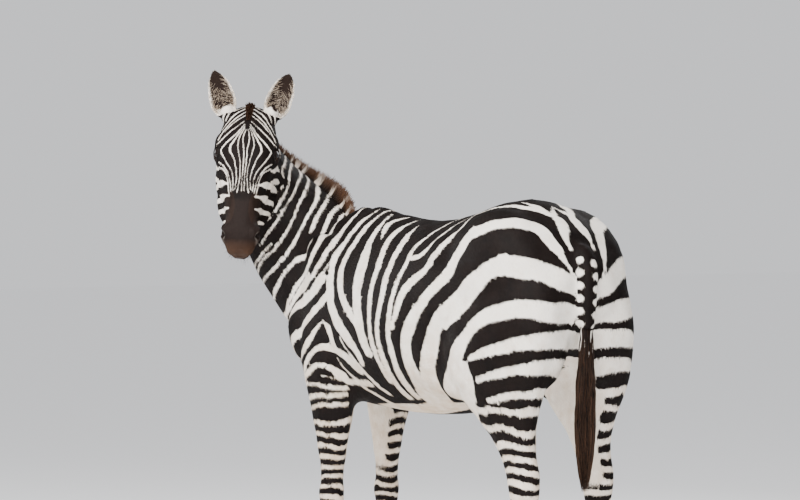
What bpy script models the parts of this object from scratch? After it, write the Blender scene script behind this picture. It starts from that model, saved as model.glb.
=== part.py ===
"""A plains zebra that stands and looks back past its left side: a still, life-size model.

Metres, +Z up. The zebra faces -X, its left side is -Y, and its hooves stand on Z = 0. The body without its
head, and the head, are each modelled whole, from lofts and muscles that a voxel remesh joins, and are then
parted by thin cuts into named parts. The mane, ears, eyes, tail and hooves are shapes of their own.
"""

import math

import bmesh
import bpy
import numpy as np
from mathutils import Matrix, Vector

# ---------------------------------------------------------------- driving dimensions
CUT_GAP = 0.0004
MERGE = 0.00003
BODY_VOXEL = 0.0092
BODY_TRIANGLES = 2860
BODY_SMOOTHING = 26
HEAD_VOXEL = 0.0055
HEAD_TRIANGLES = 1800
HEAD_SMOOTHING = 7
RING_POINTS = 36

HIP_HALF_SPREAD = 0.150
ELBOW_HALF_SPREAD = 0.142
CORONET = 0.062
KNEE = 0.450
HOCK = 0.505

# Partings: a point and a normal of the neck's; front, back, top, joint and tilt of a leg's box
NECK_PARTING = ((-0.56, 0, 1.05), (-0.8, 0, 0.6))
FORE_PARTING = (-0.75, -0.25, 0.685, KNEE, 0.0)
HIND_PARTING = (0.10, 0.90, 0.655, HOCK, math.atan(0.36))
LEG_INSIDE = 0.048
LEG_MIDDLE = 0.185

EYE_RADIUS = 0.0205
EYE_PLACE = Vector((0.149, 0.0830, -0.031))
EYE_LOOK = Vector((0.28, 0.82, 0.50)).normalized()
LID_HALF_LENGTH = 0.0195
LID_HALF_HEIGHT = 0.0120
LID_FROM, LID_TO = 0.002, 0.05
NOSTRIL = ((0.437, 0.057, -0.046), (0.021, 0.012, 0.012), (-30, -18))

EAR_BASE = Vector((0.004, 0.073, -0.030))
EAR_TIP = Vector((-0.118, 0.122, 0.042))
EAR_OPENS = Vector((0.51, 0.06, 0.86))
EAR_WALL = 0.006
EAR_BOW = 0.010
CREST_SINK = 0.006

# The head's own frame: X from poll to nose, Y to the zebra's left, Z out of the forehead.
POLL = Vector((-0.745, -0.206, 1.617))
FACE_HEADING = math.radians(-39)
FACE_DOWN = math.radians(57)
FACE_LEAN = math.radians(-2.5)

ACROSS = Vector((0, 1, 0))
BACKWARDS = Vector((1, 0, 0))
UPWARDS = Vector((0, 0, 1))
SIDES = {"left": -1, "right": 1}
HEAD_SIDES = {"left": 1, "right": -1}

# What each part is made of, by how its name starts (all else is coat), and its colour and roughness
KINDS = {"mane": ("mane", "tail_tuft"), "hoof": ("fore_hoof", "hind_hoof"), "eye": ("eye",)}
COLOURS = {
    "coat": ((0.62, 0.56, 0.50), 0.75),
    "mane": ((0.10, 0.06, 0.045), 0.85),
    "hoof": ((0.045, 0.04, 0.038), 0.5),
    "eye": ((0.012, 0.008, 0.006), 0.12),
}

# ---------------------------------------------------------------- the shapes' stations
# along, top, bottom, half width, height of the widest level, how pointed the top is
TRUNK = (
    (-0.670, 1.090, 0.880, 0.080, 0.98, 1.0),
    (-0.620, 1.185, 0.800, 0.128, 0.97, 1.1),
    (-0.540, 1.265, 0.735, 0.165, 0.95, 1.4),
    (-0.450, 1.310, 0.705, 0.184, 0.93, 1.8),
    (-0.350, 1.322, 0.692, 0.203, 0.92, 1.7),
    (-0.200, 1.292, 0.680, 0.240, 0.93, 1.25),
    (-0.050, 1.276, 0.672, 0.268, 0.95, 1.05),
    (0.100, 1.283, 0.678, 0.280, 0.97, 1.0),
    (0.230, 1.306, 0.705, 0.272, 1.00, 1.0),
    (0.350, 1.338, 0.760, 0.262, 1.03, 1.0),
    (0.460, 1.342, 0.820, 0.252, 1.06, 1.0),
    (0.560, 1.306, 0.870, 0.232, 1.08, 1.0),
    (0.640, 1.240, 0.915, 0.188, 1.08, 1.0),
    (0.695, 1.150, 0.990, 0.100, 1.07, 1.0),
)

# height, front, back, middle (outwards from the leg's line), half width
HIND_LEG = (
    (0.050, 0.462, 0.546, 0.000, 0.040),
    (0.068, 0.468, 0.548, 0.000, 0.039),
    (0.100, 0.488, 0.556, 0.000, 0.031),
    (0.150, 0.512, 0.594, 0.000, 0.036),
    (0.195, 0.526, 0.590, 0.000, 0.030),
    (0.280, 0.530, 0.588, 0.000, 0.027),
    (0.360, 0.530, 0.592, 0.000, 0.030),
    (0.420, 0.524, 0.603, 0.000, 0.038),
    (0.470, 0.508, 0.618, 0.000, 0.044),
    (0.520, 0.492, 0.628, 0.000, 0.042),
    (0.570, 0.472, 0.611, 0.001, 0.046),
    (0.620, 0.444, 0.604, 0.003, 0.054),
    (0.690, 0.378, 0.616, 0.010, 0.072),
    (0.770, 0.285, 0.650, 0.018, 0.094),
    (0.870, 0.225, 0.676, 0.012, 0.118),
    (0.980, 0.235, 0.694, -0.006, 0.130),
    (1.090, 0.290, 0.680, -0.030, 0.126),
    (1.180, 0.360, 0.625, -0.050, 0.098),
)
FORE_LEG = (
    (0.050, -0.544, -0.460, 0.000, 0.040),
    (0.066, -0.540, -0.462, 0.000, 0.039),
    (0.096, -0.520, -0.452, 0.000, 0.031),
    (0.142, -0.500, -0.416, 0.000, 0.035),
    (0.190, -0.490, -0.424, 0.000, 0.029),
    (0.280, -0.487, -0.424, 0.000, 0.027),
    (0.355, -0.492, -0.421, 0.000, 0.034),
    (0.410, -0.504, -0.416, 0.000, 0.042),
    (0.465, -0.497, -0.417, 0.000, 0.039),
    (0.560, -0.508, -0.402, 0.000, 0.048),
    (0.660, -0.530, -0.374, 0.002, 0.062),
    (0.750, -0.553, -0.338, 0.004, 0.074),
    (0.830, -0.580, -0.315, 0.000, 0.078),
    (0.930, -0.600, -0.315, -0.012, 0.080),
    (1.060, -0.580, -0.315, -0.040, 0.070),
    (1.170, -0.500, -0.310, -0.070, 0.050),
)
FORE_SETS = {"left": 0.066, "right": -0.025}
HIND_SETS = {"left": 0.010, "right": -0.010}

# Share of the neck's length, half width, reach to the crest, reach to the throat.
NECK = (
    (0.00, 0.148, 0.195, 0.225),
    (0.20, 0.136, 0.190, 0.220),
    (0.40, 0.116, 0.168, 0.194),
    (0.60, 0.096, 0.146, 0.162),
    (0.80, 0.079, 0.124, 0.135),
    (1.00, 0.068, 0.098, 0.116),
    (1.12, 0.055, 0.075, 0.092),
)
NECK_LINE = (
    Vector((-0.470, 0.000, 1.010)),
    Vector((-0.690, 0.020, 1.130)),
    Vector((-0.860, -0.050, 1.360)),
    Vector((-0.800, -0.165, 1.510)),
)
NECK_UP = (Vector((0.35, 0.0, 1.0)), Vector((-0.50, 0.42, 0.70)))
NECK_LENGTH = 0.55

# In the head's frame: along, top, bottom, half width, widest level, squareness above, squareness below
HEAD = (
    (-0.040, -0.036, -0.120, 0.048, -0.070, 1.0, 1.0),
    (-0.015, -0.012, -0.160, 0.070, -0.070, 0.95, 1.0),
    (0.030, 0.007, -0.195, 0.085, -0.068, 0.85, 0.9),
    (0.080, 0.022, -0.225, 0.094, -0.068, 0.7, 0.75),
    (0.130, 0.028, -0.238, 0.098, -0.070, 0.62, 0.62),
    (0.180, 0.026, -0.236, 0.096, -0.075, 0.58, 0.58),
    (0.230, 0.017, -0.216, 0.086, -0.080, 0.60, 0.60),
    (0.280, 0.008, -0.188, 0.072, -0.080, 0.62, 0.66),
    (0.330, 0.000, -0.160, 0.059, -0.072, 0.66, 0.74),
    (0.382, -0.006, -0.136, 0.052, -0.066, 0.72, 0.85),
    (0.422, -0.012, -0.124, 0.054, -0.066, 0.80, 1.0),
    (0.458, -0.026, -0.120, 0.052, -0.074, 0.90, 1.1),
    (0.488, -0.050, -0.110, 0.034, -0.080, 1.0, 1.0),
)

# height, front, back, half width
HIND_HOOF = (
    (0.000, 0.428, 0.548, 0.051),
    (0.030, 0.446, 0.547, 0.047),
    (CORONET - CUT_GAP, 0.466, 0.545, 0.0405),
)
FORE_HOOF = (
    (0.000, -0.578, -0.458, 0.054),
    (0.030, -0.559, -0.459, 0.050),
    (CORONET - CUT_GAP, -0.540, -0.461, 0.0415),
)

# Share of the ear's length, half width, depth of the cup, how far round its section goes in degrees
EAR = (
    (0.00, 0.027, 0.028, 124),
    (0.18, 0.040, 0.030, 110),
    (0.45, 0.042, 0.025, 92),
    (0.70, 0.037, 0.019, 80),
    (0.88, 0.024, 0.013, 74),
    (1.00, 0.008, 0.008, 70),
)

# On the neck: share of its length, height over the crest, half width at the base
MANE_ON_NECK = (
    (-0.10, 0.012, 0.010),
    (0.05, 0.034, 0.015),
    (0.25, 0.052, 0.018),
    (0.50, 0.060, 0.019),
    (0.75, 0.062, 0.019),
    (0.88, 0.050, 0.019),
)
# On the head: place along it, height of the skin, height of the hair, half width
MANE_ON_HEAD = (
    (-0.032, -0.030, 0.022, 0.018),
    (-0.005, -0.011, 0.019, 0.019),
    (0.026, 0.004, 0.014, 0.018),
    (0.056, 0.013, 0.009, 0.012),
)

# along, across, height, half width, half depth
TAIL_DOCK = (
    (0.590, 0.000, 1.190, 0.034, 0.030),
    (0.660, -0.003, 1.185, 0.034, 0.030),
    (0.698, -0.009, 1.135, 0.033, 0.028),
    (0.706, -0.014, 1.060, 0.030, 0.025),
    (0.702, -0.017, 0.960, 0.025, 0.021),
)
TAIL_TUFT = (
    (0.702, -0.017, 0.960, 0.026, 0.023),
    (0.700, -0.018, 0.880, 0.036, 0.030),
    (0.698, -0.018, 0.760, 0.045, 0.036),
    (0.694, -0.017, 0.640, 0.044, 0.034),
    (0.690, -0.016, 0.540, 0.028, 0.022),
    (0.688, -0.015, 0.470, 0.006, 0.005),
)

# name: centre, radii, turn about Y then about Z, in degrees; each is set on both sides
BODY_MUSCLES = {
    "shoulder_blade": ((-0.420, 0.112, 1.010), (0.115, 0.068, 0.240), (-22, 0)),
    "shoulder_point": ((-0.555, 0.105, 0.930), (0.085, 0.070, 0.120), (0, 0)),
    "upper_arm": ((-0.400, 0.150, 0.850), (0.120, 0.070, 0.120), (0, 0)),
    "breast": ((-0.590, 0.052, 0.875), (0.072, 0.062, 0.120), (0, 0)),
    "haunch": ((0.440, 0.125, 1.105), (0.225, 0.145, 0.215), (0, 0)),
    "thigh": ((0.440, 0.165, 0.935), (0.200, 0.108, 0.230), (12, 0)),
    "buttock": ((0.590, 0.110, 0.975), (0.095, 0.095, 0.200), (-6, 0)),
    "hip": ((0.270, 0.185, 1.165), (0.085, 0.070, 0.080), (0, 0)),
    "stifle": ((0.310, 0.175, 0.815), (0.075, 0.070, 0.095), (20, 0)),
    "flank": ((0.190, 0.150, 0.900), (0.160, 0.120, 0.160), (0, 0)),
}
HEAD_MUSCLES = {
    "brow": ((0.120, 0.074, -0.020), (0.046, 0.030, 0.026), (0, 0)),
    "eye_socket": ((0.149, 0.080, -0.036), (0.036, 0.029, 0.031), (0, 0)),
    "cheek_bone": ((0.235, 0.066, -0.062), (0.085, 0.024, 0.018), (6, -9)),
    "jowl": ((0.160, 0.062, -0.150), (0.098, 0.040, 0.086), (-14, 0)),
    "jaw": ((0.262, 0.056, -0.158), (0.098, 0.034, 0.044), (-17, -9)),
    "nostril": ((0.430, 0.040, -0.052), (0.032, 0.025, 0.034), (20, 0)),
    "upper_lip": ((0.464, 0.018, -0.080), (0.030, 0.028, 0.034), (0, 0)),
    "lower_lip": ((0.452, 0.008, -0.122), (0.034, 0.027, 0.021), (-10, 0)),
    "ear_root": ((0.000, 0.070, -0.030), (0.032, 0.026, 0.036), (0, 0)),
}


# ---------------------------------------------------------------- helpers
def clear_scene():
    for obj in list(bpy.data.objects):
        bpy.data.objects.remove(obj, do_unlink=True)


def new_collection(name):
    collection = bpy.data.collections.new(name)
    bpy.context.scene.collection.children.link(collection)
    return collection


def smooth_rows(stations, count):
    """Rows evenly spaced on a cubic through the stations. The first column is the way along."""
    table = np.array(stations, float)
    at = table[:, 0]
    slope = np.gradient(table, at, axis=0)
    sample = np.linspace(at[0], at[-1], count)
    i = np.clip(np.searchsorted(at, sample, side="right") - 1, 0, len(at) - 2)
    span = (at[i + 1] - at[i])[:, None]
    s = (sample - at[i])[:, None] / span
    return (
        (2 * s**3 - 3 * s**2 + 1) * table[i]
        + (s**3 - 2 * s**2 + s) * span * slope[i]
        + (3 * s**2 - 2 * s**3) * table[i + 1]
        + (s**3 - s**2) * span * slope[i + 1]
    )


def power(value, exponent):
    return math.copysign(abs(value) ** exponent, value)


def ring(centre, side, up, half_width, rise, drop, crown=1.0, keel=1.0, count=RING_POINTS):
    """An egg-shaped section: crown over 1 narrows its top, under 1 squares it; keel does so below."""
    points = []
    for i in range(count):
        angle = 2 * math.pi * i / count
        c, s = math.cos(angle), math.sin(angle)
        shape = crown if s > 0 else keel
        across = half_width * power(c, shape)
        reach = (rise if s > 0 else drop) * power(s, min(shape, 1.0))
        points.append(centre + side * across + up * reach)
    return points


def loft(bm, rings):
    """Joins rings of points, each with the same count, and closes both ends."""
    rows = [[bm.verts.new(p) for p in points] for points in rings]
    for low, high in zip(rows, rows[1:]):
        for i in range(len(low)):
            j = (i + 1) % len(low)
            bm.faces.new((low[i], low[j], high[j], high[i]))
    bm.faces.new(list(reversed(rows[0])))
    bm.faces.new(rows[-1])


def ellipsoid(bm, centre, radii, turn=(0, 0), frame=Matrix(), subdivisions=3):
    place = Matrix.Translation(centre) @ Matrix.Rotation(math.radians(turn[1]), 4, "Z")
    place = place @ Matrix.Rotation(math.radians(turn[0]), 4, "Y") @ Matrix.Diagonal((*radii, 1))
    bmesh.ops.create_icosphere(bm, subdivisions=subdivisions, radius=1.0, matrix=frame @ place)


def mirrored(place, side):
    return Vector((place[0], place[1] * side, place[2]))


def both_sides(bm, muscles, frame=Matrix()):
    """Each muscle, on the side that is +Y in its frame and on the other."""
    for centre, radii, turn in muscles.values():
        for side in (1, -1):
            ellipsoid(bm, mirrored(centre, side), radii, (turn[0], side * turn[1]), frame)


def object_of(bm, name, collection):
    bmesh.ops.recalc_face_normals(bm, faces=bm.faces)
    mesh = bpy.data.meshes.new(name)
    bm.to_mesh(mesh)
    bm.free()
    obj = bpy.data.objects.new(name, mesh)
    collection.objects.link(obj)
    return obj


def cutter_of(bm, name):
    obj = object_of(bm, name, CUTTERS)
    obj.hide_render = True
    obj.display_type = "WIRE"
    return obj


def apply_modifiers(obj):
    graph = bpy.context.evaluated_depsgraph_get()
    mesh = bpy.data.meshes.new_from_object(obj.evaluated_get(graph))
    obj.modifiers.clear()
    obj.data = mesh
    return obj


def copy_of(obj, name, collection):
    twin = obj.copy()
    twin.data = obj.data.copy()
    twin.name = name
    collection.objects.link(twin)
    return twin


def boolean(obj, other, operation):
    cut = obj.modifiers.new(operation.lower(), "BOOLEAN")
    cut.object = other
    cut.operation = operation
    cut.solver = "EXACT"
    apply_modifiers(obj)
    bm = bmesh.new()
    bm.from_mesh(obj.data)
    bmesh.ops.dissolve_degenerate(bm, dist=MERGE, edges=bm.edges)
    bmesh.ops.triangulate(bm, faces=bm.faces)
    bm.to_mesh(obj.data)
    bm.free()
    return obj


def clear_of(obj, *others):
    """Cuts obj back from the others, with a gap."""
    for other in others:
        twin = copy_of(other, "clear_" + other.name, CUTTERS)
        twin.hide_render = True
        twin.display_type = "WIRE"
        swell = twin.modifiers.new("swell", "DISPLACE")
        swell.strength = CUT_GAP
        swell.mid_level = 0.0
        boolean(obj, apply_modifiers(twin), "DIFFERENCE")
    return obj


def block(name, centre, size, turn=Matrix()):
    bm = bmesh.new()
    place = Matrix.Translation(centre) @ turn @ Matrix.Diagonal((*size, 1))
    bmesh.ops.create_cube(bm, size=1.0, matrix=place)
    return cutter_of(bm, name)


def part_off(body, name, centre, size, turn=Matrix()):
    """Takes the piece of body within a box out of it, and leaves a gap."""
    inside = block("inside_" + name, centre, size, turn)
    outside = block("outside_" + name, centre, size + Vector((2, 2, 2)) * CUT_GAP, turn)
    piece = boolean(copy_of(body, name, ZEBRA), inside, "INTERSECT")
    boolean(body, outside, "DIFFERENCE")
    return piece


def simplify(obj, triangles):
    obj.data.calc_loop_triangles()
    fewer = obj.modifiers.new("fewer", "DECIMATE")
    fewer.ratio = triangles / len(obj.data.loop_triangles)
    fewer.use_collapse_triangulate = True
    return fewer


# ---------------------------------------------------------------- frames and curves
def head_frame():
    turn = Matrix.Rotation(FACE_HEADING, 4, "Z") @ Matrix.Rotation(FACE_LEAN, 4, "X")
    return Matrix.Translation(POLL) @ turn @ Matrix.Rotation(FACE_DOWN, 4, "Y")


def bezier(points, t):
    a, b, c, d = points
    return a * (1 - t) ** 3 + b * 3 * t * (1 - t) ** 2 + c * 3 * t * t * (1 - t) + d * t**3


def bezier_slope(points, t):
    a, b, c, d = points
    return ((b - a) * (1 - t) ** 2 + (c - b) * 2 * t * (1 - t) + (d - c) * t * t).normalized()


def neck_section(t):
    """Centre, side, crest direction and slope of the neck at a share t, straight past its ends."""
    inside = min(max(t, 0.0), 1.0)
    along = bezier_slope(NECK_LINE, inside)
    centre = bezier(NECK_LINE, inside) + along * (t - inside) * NECK_LENGTH
    up = NECK_UP[0].normalized().lerp(NECK_UP[1].normalized(), inside)
    up = (up - along * up.dot(along)).normalized()
    return centre, along.cross(up), up, along


def upright_frame(axis, facing):
    """A turn whose Z is the axis and whose X is facing, made square to it."""
    z = axis.normalized()
    x = (facing - z * facing.dot(z)).normalized()
    return Matrix((x, z.cross(x), z)).transposed().to_4x4()


# ---------------------------------------------------------------- the body without its head
def trunk_loft(bm):
    rings = []
    for along, top, bottom, half, widest, crown in smooth_rows(TRUNK, 40):
        centre = Vector((along, 0, widest))
        rings.append(ring(centre, ACROSS, UPWARDS, half, top - widest, widest - bottom, crown))
    loft(bm, rings)


def leg_loft(bm, stations, line, shift):
    """A leg whose middle stands at y = line, moved by shift along X."""
    outwards = math.copysign(1, line)
    rings = []
    for height, front, back, middle, half in smooth_rows(stations, 44):
        centre = Vector(((front + back) / 2 + shift, line + outwards * middle, height))
        rings.append(ring(centre, ACROSS, BACKWARDS, half, (back - front) / 2, (back - front) / 2))
    loft(bm, rings)


def neck_loft(bm):
    rings = []
    for t, half, rise, drop in smooth_rows(NECK, 26):
        centre, side, up, _ = neck_section(t)
        rings.append(ring(centre, side, up, half, rise, drop, 1.25))
    loft(bm, rings)


def smoothing_weights(obj):
    """How much each place is smoothed: the trunk most, the lower legs little."""
    group = obj.vertex_groups.new(name="soft")
    for vertex in obj.data.vertices:
        group.add([vertex.index], min(1.0, max(0.12, (vertex.co.z - 0.40) / 0.35)), "REPLACE")


def detail_weights(obj):
    """Where the body keeps more of its triangles: the lower legs."""
    group = obj.vertex_groups.new(name="detail")
    for vertex in obj.data.vertices:
        group.add([vertex.index], 0.6 if vertex.co.z < 0.6 else 0.1, "REPLACE")


def whole_body():
    bm = bmesh.new()
    trunk_loft(bm)
    for side, line in SIDES.items():
        leg_loft(bm, HIND_LEG, line * HIP_HALF_SPREAD, HIND_SETS[side])
        leg_loft(bm, FORE_LEG, line * ELBOW_HALF_SPREAD, FORE_SETS[side])
    neck_loft(bm)
    both_sides(bm, BODY_MUSCLES)
    body = object_of(bm, "trunk", ZEBRA)
    remesh = body.modifiers.new("join", "REMESH")
    remesh.mode = "VOXEL"
    remesh.voxel_size = BODY_VOXEL
    apply_modifiers(body)
    smoothing_weights(body)
    soften = body.modifiers.new("soften", "SMOOTH")
    soften.factor = 0.5
    soften.iterations = BODY_SMOOTHING
    soften.vertex_group = "soft"
    apply_modifiers(body)
    body.vertex_groups.clear()
    detail_weights(body)
    fewer = simplify(body, BODY_TRIANGLES)
    fewer.vertex_group = "detail"
    fewer.vertex_group_factor = 0.05
    fewer.invert_vertex_group = True
    apply_modifiers(body)
    body.vertex_groups.clear()
    return body


# ---------------------------------------------------------------- the head
def head_loft(bm, frame):
    turn = frame.to_3x3()
    side, up = turn @ ACROSS, turn @ UPWARDS
    rings = []
    for along, top, bottom, half, widest, crown, keel in smooth_rows(HEAD, 40):
        centre = frame @ Vector((along, 0, widest))
        rings.append(ring(centre, side, up, half, top - widest, widest - bottom, crown, keel))
    loft(bm, rings)


def lid_opening(frame, side):
    """A prism with an almond outline, from the middle of the eye outwards."""
    bm = bmesh.new()
    look = mirrored(EYE_LOOK, side)
    turn = upright_frame(look, Vector((1, 0, -0.25)))
    outline = []
    for i in range(24):
        angle = 2 * math.pi * i / 24
        height = LID_HALF_HEIGHT * power(math.sin(angle), 1.35)
        outline.append(Vector((LID_HALF_LENGTH * math.cos(angle), height, 0)))
    place = frame @ Matrix.Translation(mirrored(EYE_PLACE, side)) @ turn
    loft(bm, [[place @ (p + Vector((0, 0, reach))) for p in outline] for reach in (LID_FROM, LID_TO)])
    return cutter_of(bm, "lid_opening")


def head_of(frame):
    bm = bmesh.new()
    head_loft(bm, frame)
    both_sides(bm, HEAD_MUSCLES, frame)
    head = object_of(bm, "head", ZEBRA)
    remesh = head.modifiers.new("join", "REMESH")
    remesh.mode = "VOXEL"
    remesh.voxel_size = HEAD_VOXEL
    soften = head.modifiers.new("soften", "SMOOTH")
    soften.factor = 0.5
    soften.iterations = HEAD_SMOOTHING
    apply_modifiers(head)
    simplify(head, HEAD_TRIANGLES)
    apply_modifiers(head)
    for side in (1, -1):
        bm = bmesh.new()
        ellipsoid(bm, mirrored(EYE_PLACE, side), (EYE_RADIUS + CUT_GAP,) * 3, frame=frame, subdivisions=2)
        boolean(head, cutter_of(bm, "eye_socket"), "DIFFERENCE")
        boolean(head, lid_opening(frame, side), "DIFFERENCE")
        bm = bmesh.new()
        place, radii, turn = NOSTRIL
        ellipsoid(bm, mirrored(place, side), radii, (turn[0], side * turn[1]), frame, 2)
        boolean(head, cutter_of(bm, "nostril"), "DIFFERENCE")
    return head


def eye_of(frame, name, side):
    bm = bmesh.new()
    ellipsoid(bm, mirrored(EYE_PLACE, side), (EYE_RADIUS,) * 3, frame=frame, subdivisions=2)
    return object_of(bm, name, ZEBRA)


def ear_of(frame, name, side):
    """A cupped leaf: each ring runs round the outside of the cup and back along its inside."""
    bm = bmesh.new()
    base, tip = mirrored(EAR_BASE, side), mirrored(EAR_TIP, side)
    axis = tip - base
    turn = upright_frame(axis, mirrored(EAR_OPENS, side))
    rings = []
    for share, half, depth, reach in smooth_rows(EAR, 10):
        centre = base + axis * share - turn.to_3x3() @ Vector((EAR_BOW * math.sin(math.pi * share), 0, 0))
        outside, inside = [], []
        for i in range(9):
            angle = math.radians(reach) * (i / 4 - 1)
            arc = Vector((-math.cos(angle), math.sin(angle), 0))
            thin = EAR_WALL * (1.15 - 0.75 * (i / 4 - 1) ** 2)
            outside.append(Vector((arc.x * depth, arc.y * half, 0)))
            inside.append(Vector((arc.x * (depth - thin), arc.y * (half - thin), 0)))
        rings.append([frame @ (centre + turn.to_3x3() @ p) for p in outside + inside[::-1]])
    loft(bm, rings)
    return object_of(bm, name, ZEBRA)


# ---------------------------------------------------------------- mane, tail and hooves
def mane_section(foot, side, up, height, half):
    """A wedge whose foot is sunk in the crest."""
    outline = ((0.8, -0.030), (1.0, 0.0), (0.72, 0.55 * height), (0.42, 0.9 * height), (0.0, height))
    right = [foot + side * (half * across) + up * reach for across, reach in outline]
    left = [foot - side * (half * across) + up * reach for across, reach in outline[-2::-1]]
    return right + left


def mane_stations(frame):
    """Rows of way along the crest, foot, side, hair direction, height and half width, to the forehead."""
    rows = []
    for t, height, half in MANE_ON_NECK:
        centre, side, up, _ = neck_section(t)
        rise = np.interp(t, [row[0] for row in NECK], [row[2] for row in NECK]) - CREST_SINK
        rows.append((*(centre + up * rise), *side, *up, height, half))
    turn = frame.to_3x3()
    for along, skin, height, half in MANE_ON_HEAD:
        up = turn @ Vector((6 * along - 0.75, 0, 0.66)).normalized()
        rows.append((*(frame @ Vector((along, 0, skin))), *(turn @ -ACROSS), *up, height, half))
    table = np.array(rows)
    way = np.cumsum(np.r_[0, np.linalg.norm(np.diff(table[:, :3], axis=0), axis=1)])
    return np.column_stack((way, table))


def mane_of(frame):
    bm = bmesh.new()
    rings = []
    for row in smooth_rows(mane_stations(frame), 20):
        foot, side, up = Vector(row[1:4]), Vector(row[4:7]), Vector(row[7:10]).normalized()
        rings.append(mane_section(foot, side, up, *row[10:]))
    loft(bm, rings)
    return object_of(bm, "mane", ZEBRA)


def hanging_loft(name, stations, first, last):
    """Rings square to a line through the stations, from one share of its length to another."""
    table = smooth_rows([(i, *row) for i, row in enumerate(stations)], 14)
    points = [Vector(row[1:4]) for row in table]
    rings = []
    for i, row in enumerate(table):
        way = (points[min(i + 1, len(points) - 1)] - points[max(i - 1, 0)]).normalized()
        back = ACROSS.cross(way).normalized()
        shift = CUT_GAP * (first if i == 0 else last if i == len(table) - 1 else 0)
        rings.append(ring(points[i] + way * shift, ACROSS, back, row[4], row[5], row[5], count=16))
    bm = bmesh.new()
    loft(bm, rings)
    return object_of(bm, name, ZEBRA)


def hoof_of(name, stations, line, shift):
    rings = []
    for height, front, back, half in smooth_rows(stations, 4):
        centre = Vector(((front + back) / 2 + shift, line, height))
        deep = (back - front) / 2
        rings.append(ring(centre, ACROSS, -BACKWARDS, half, deep, deep, 0.95, 0.85, 18))
    bm = bmesh.new()
    loft(bm, rings)
    return object_of(bm, name, ZEBRA)


# ---------------------------------------------------------------- parting and finish
def part_leg(body, names, line, front, back, top, joint, tilt):
    """Takes a leg off the trunk under a plane that climbs backwards by tilt, and parts it at its joint."""
    size = Vector((back - front, 2 * (LEG_MIDDLE - LEG_INSIDE), 1.0))
    turn = Matrix.Rotation(-tilt, 4, "Y")
    hinge = Vector((front, line * LEG_MIDDLE, top))
    leg = part_off(body, names[0], hinge + turn.to_3x3() @ Vector((size.x / 2, 0, -0.5)), size, turn)
    part_off(leg, names[1], Vector(((front + back) / 2, line * LEG_MIDDLE, joint - 0.5)), size)


def part_body(body):
    boolean(body, block("below_coronets", (0, 0, CORONET - 0.1), (3, 3, 0.2)), "DIFFERENCE")
    normal = Vector(NECK_PARTING[1]).normalized()
    turn = upright_frame(normal, ACROSS)
    part_off(body, "neck", Vector(NECK_PARTING[0]) + normal * 0.45, Vector((0.9, 0.9, 0.9)), turn)
    for side, line in SIDES.items():
        part_leg(body, ("fore_leg_" + side, "fore_shank_" + side), line, *FORE_PARTING)
        part_leg(body, ("hind_leg_" + side, "hind_shank_" + side), line, *HIND_PARTING)


def finish(obj, kind):
    """Each object gets a material of its own."""
    colour, roughness = COLOURS[kind]
    material = bpy.data.materials.new(obj.name)
    material.use_nodes = True
    shader = material.node_tree.nodes["Principled BSDF"]
    shader.inputs["Base Color"].default_value = (*colour, 1)
    shader.inputs["Roughness"].default_value = roughness
    obj.data.materials.clear()
    obj.data.materials.append(material)
    obj.data.shade_smooth()


def stand_on_origin(objects):
    """Moves the whole so that the middle of its underside, seen as a box, is the origin."""
    corners = np.array([vertex.co for obj in objects for vertex in obj.data.vertices])
    low, high = corners.min(axis=0), corners.max(axis=0)
    for obj in objects:
        obj.location = (-(low[0] + high[0]) / 2, -(low[1] + high[1]) / 2, -low[2])


def main():
    frame = head_frame()
    body = whole_body()
    head = head_of(frame)
    ears = [ear_of(frame, "ear_" + side, line) for side, line in HEAD_SIDES.items()]
    for ear in ears:
        clear_of(ear, head)
    clear_of(mane_of(frame), body, head, *ears)
    clear_of(body, head)
    dock = clear_of(hanging_loft("tail_dock", TAIL_DOCK, 0, -1), body)
    clear_of(hanging_loft("tail_tuft", TAIL_TUFT, 0, 0), body, dock)
    for side, line in HEAD_SIDES.items():
        eye_of(frame, "eye_" + side, line)
    for side, line in SIDES.items():
        hoof_of("fore_hoof_" + side, FORE_HOOF, line * ELBOW_HALF_SPREAD, FORE_SETS[side])
        hoof_of("hind_hoof_" + side, HIND_HOOF, line * HIP_HALF_SPREAD, HIND_SETS[side])
    part_body(body)
    parts = list(ZEBRA.objects)
    for obj in parts:
        kind = next((key for key, words in KINDS.items() if obj.name.startswith(words)), "coat")
        finish(obj, kind)
    stand_on_origin(parts)


clear_scene()
ZEBRA = new_collection("zebra")
CUTTERS = new_collection("cutters")
main()
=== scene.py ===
import math
import time

import bmesh
import bpy
import numpy as np
from mathutils import Matrix, Vector
from mathutils.bvhtree import BVHTree


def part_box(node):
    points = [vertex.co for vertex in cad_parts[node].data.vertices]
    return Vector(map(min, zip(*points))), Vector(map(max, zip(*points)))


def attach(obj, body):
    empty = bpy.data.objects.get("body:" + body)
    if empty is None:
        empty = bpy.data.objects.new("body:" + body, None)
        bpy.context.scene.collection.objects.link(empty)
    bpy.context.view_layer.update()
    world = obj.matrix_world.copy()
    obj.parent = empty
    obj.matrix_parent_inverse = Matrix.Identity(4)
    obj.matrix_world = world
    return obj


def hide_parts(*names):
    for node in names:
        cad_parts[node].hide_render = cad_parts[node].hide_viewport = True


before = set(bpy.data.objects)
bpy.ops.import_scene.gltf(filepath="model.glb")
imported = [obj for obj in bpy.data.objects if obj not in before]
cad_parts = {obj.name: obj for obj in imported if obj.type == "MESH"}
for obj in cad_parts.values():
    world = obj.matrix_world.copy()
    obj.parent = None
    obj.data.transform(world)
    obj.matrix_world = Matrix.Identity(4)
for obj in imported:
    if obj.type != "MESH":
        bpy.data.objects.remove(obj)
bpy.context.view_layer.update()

started = time.time()


def report(words):
    print(f"[{time.time() - started:5.1f} s] {words}")


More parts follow.
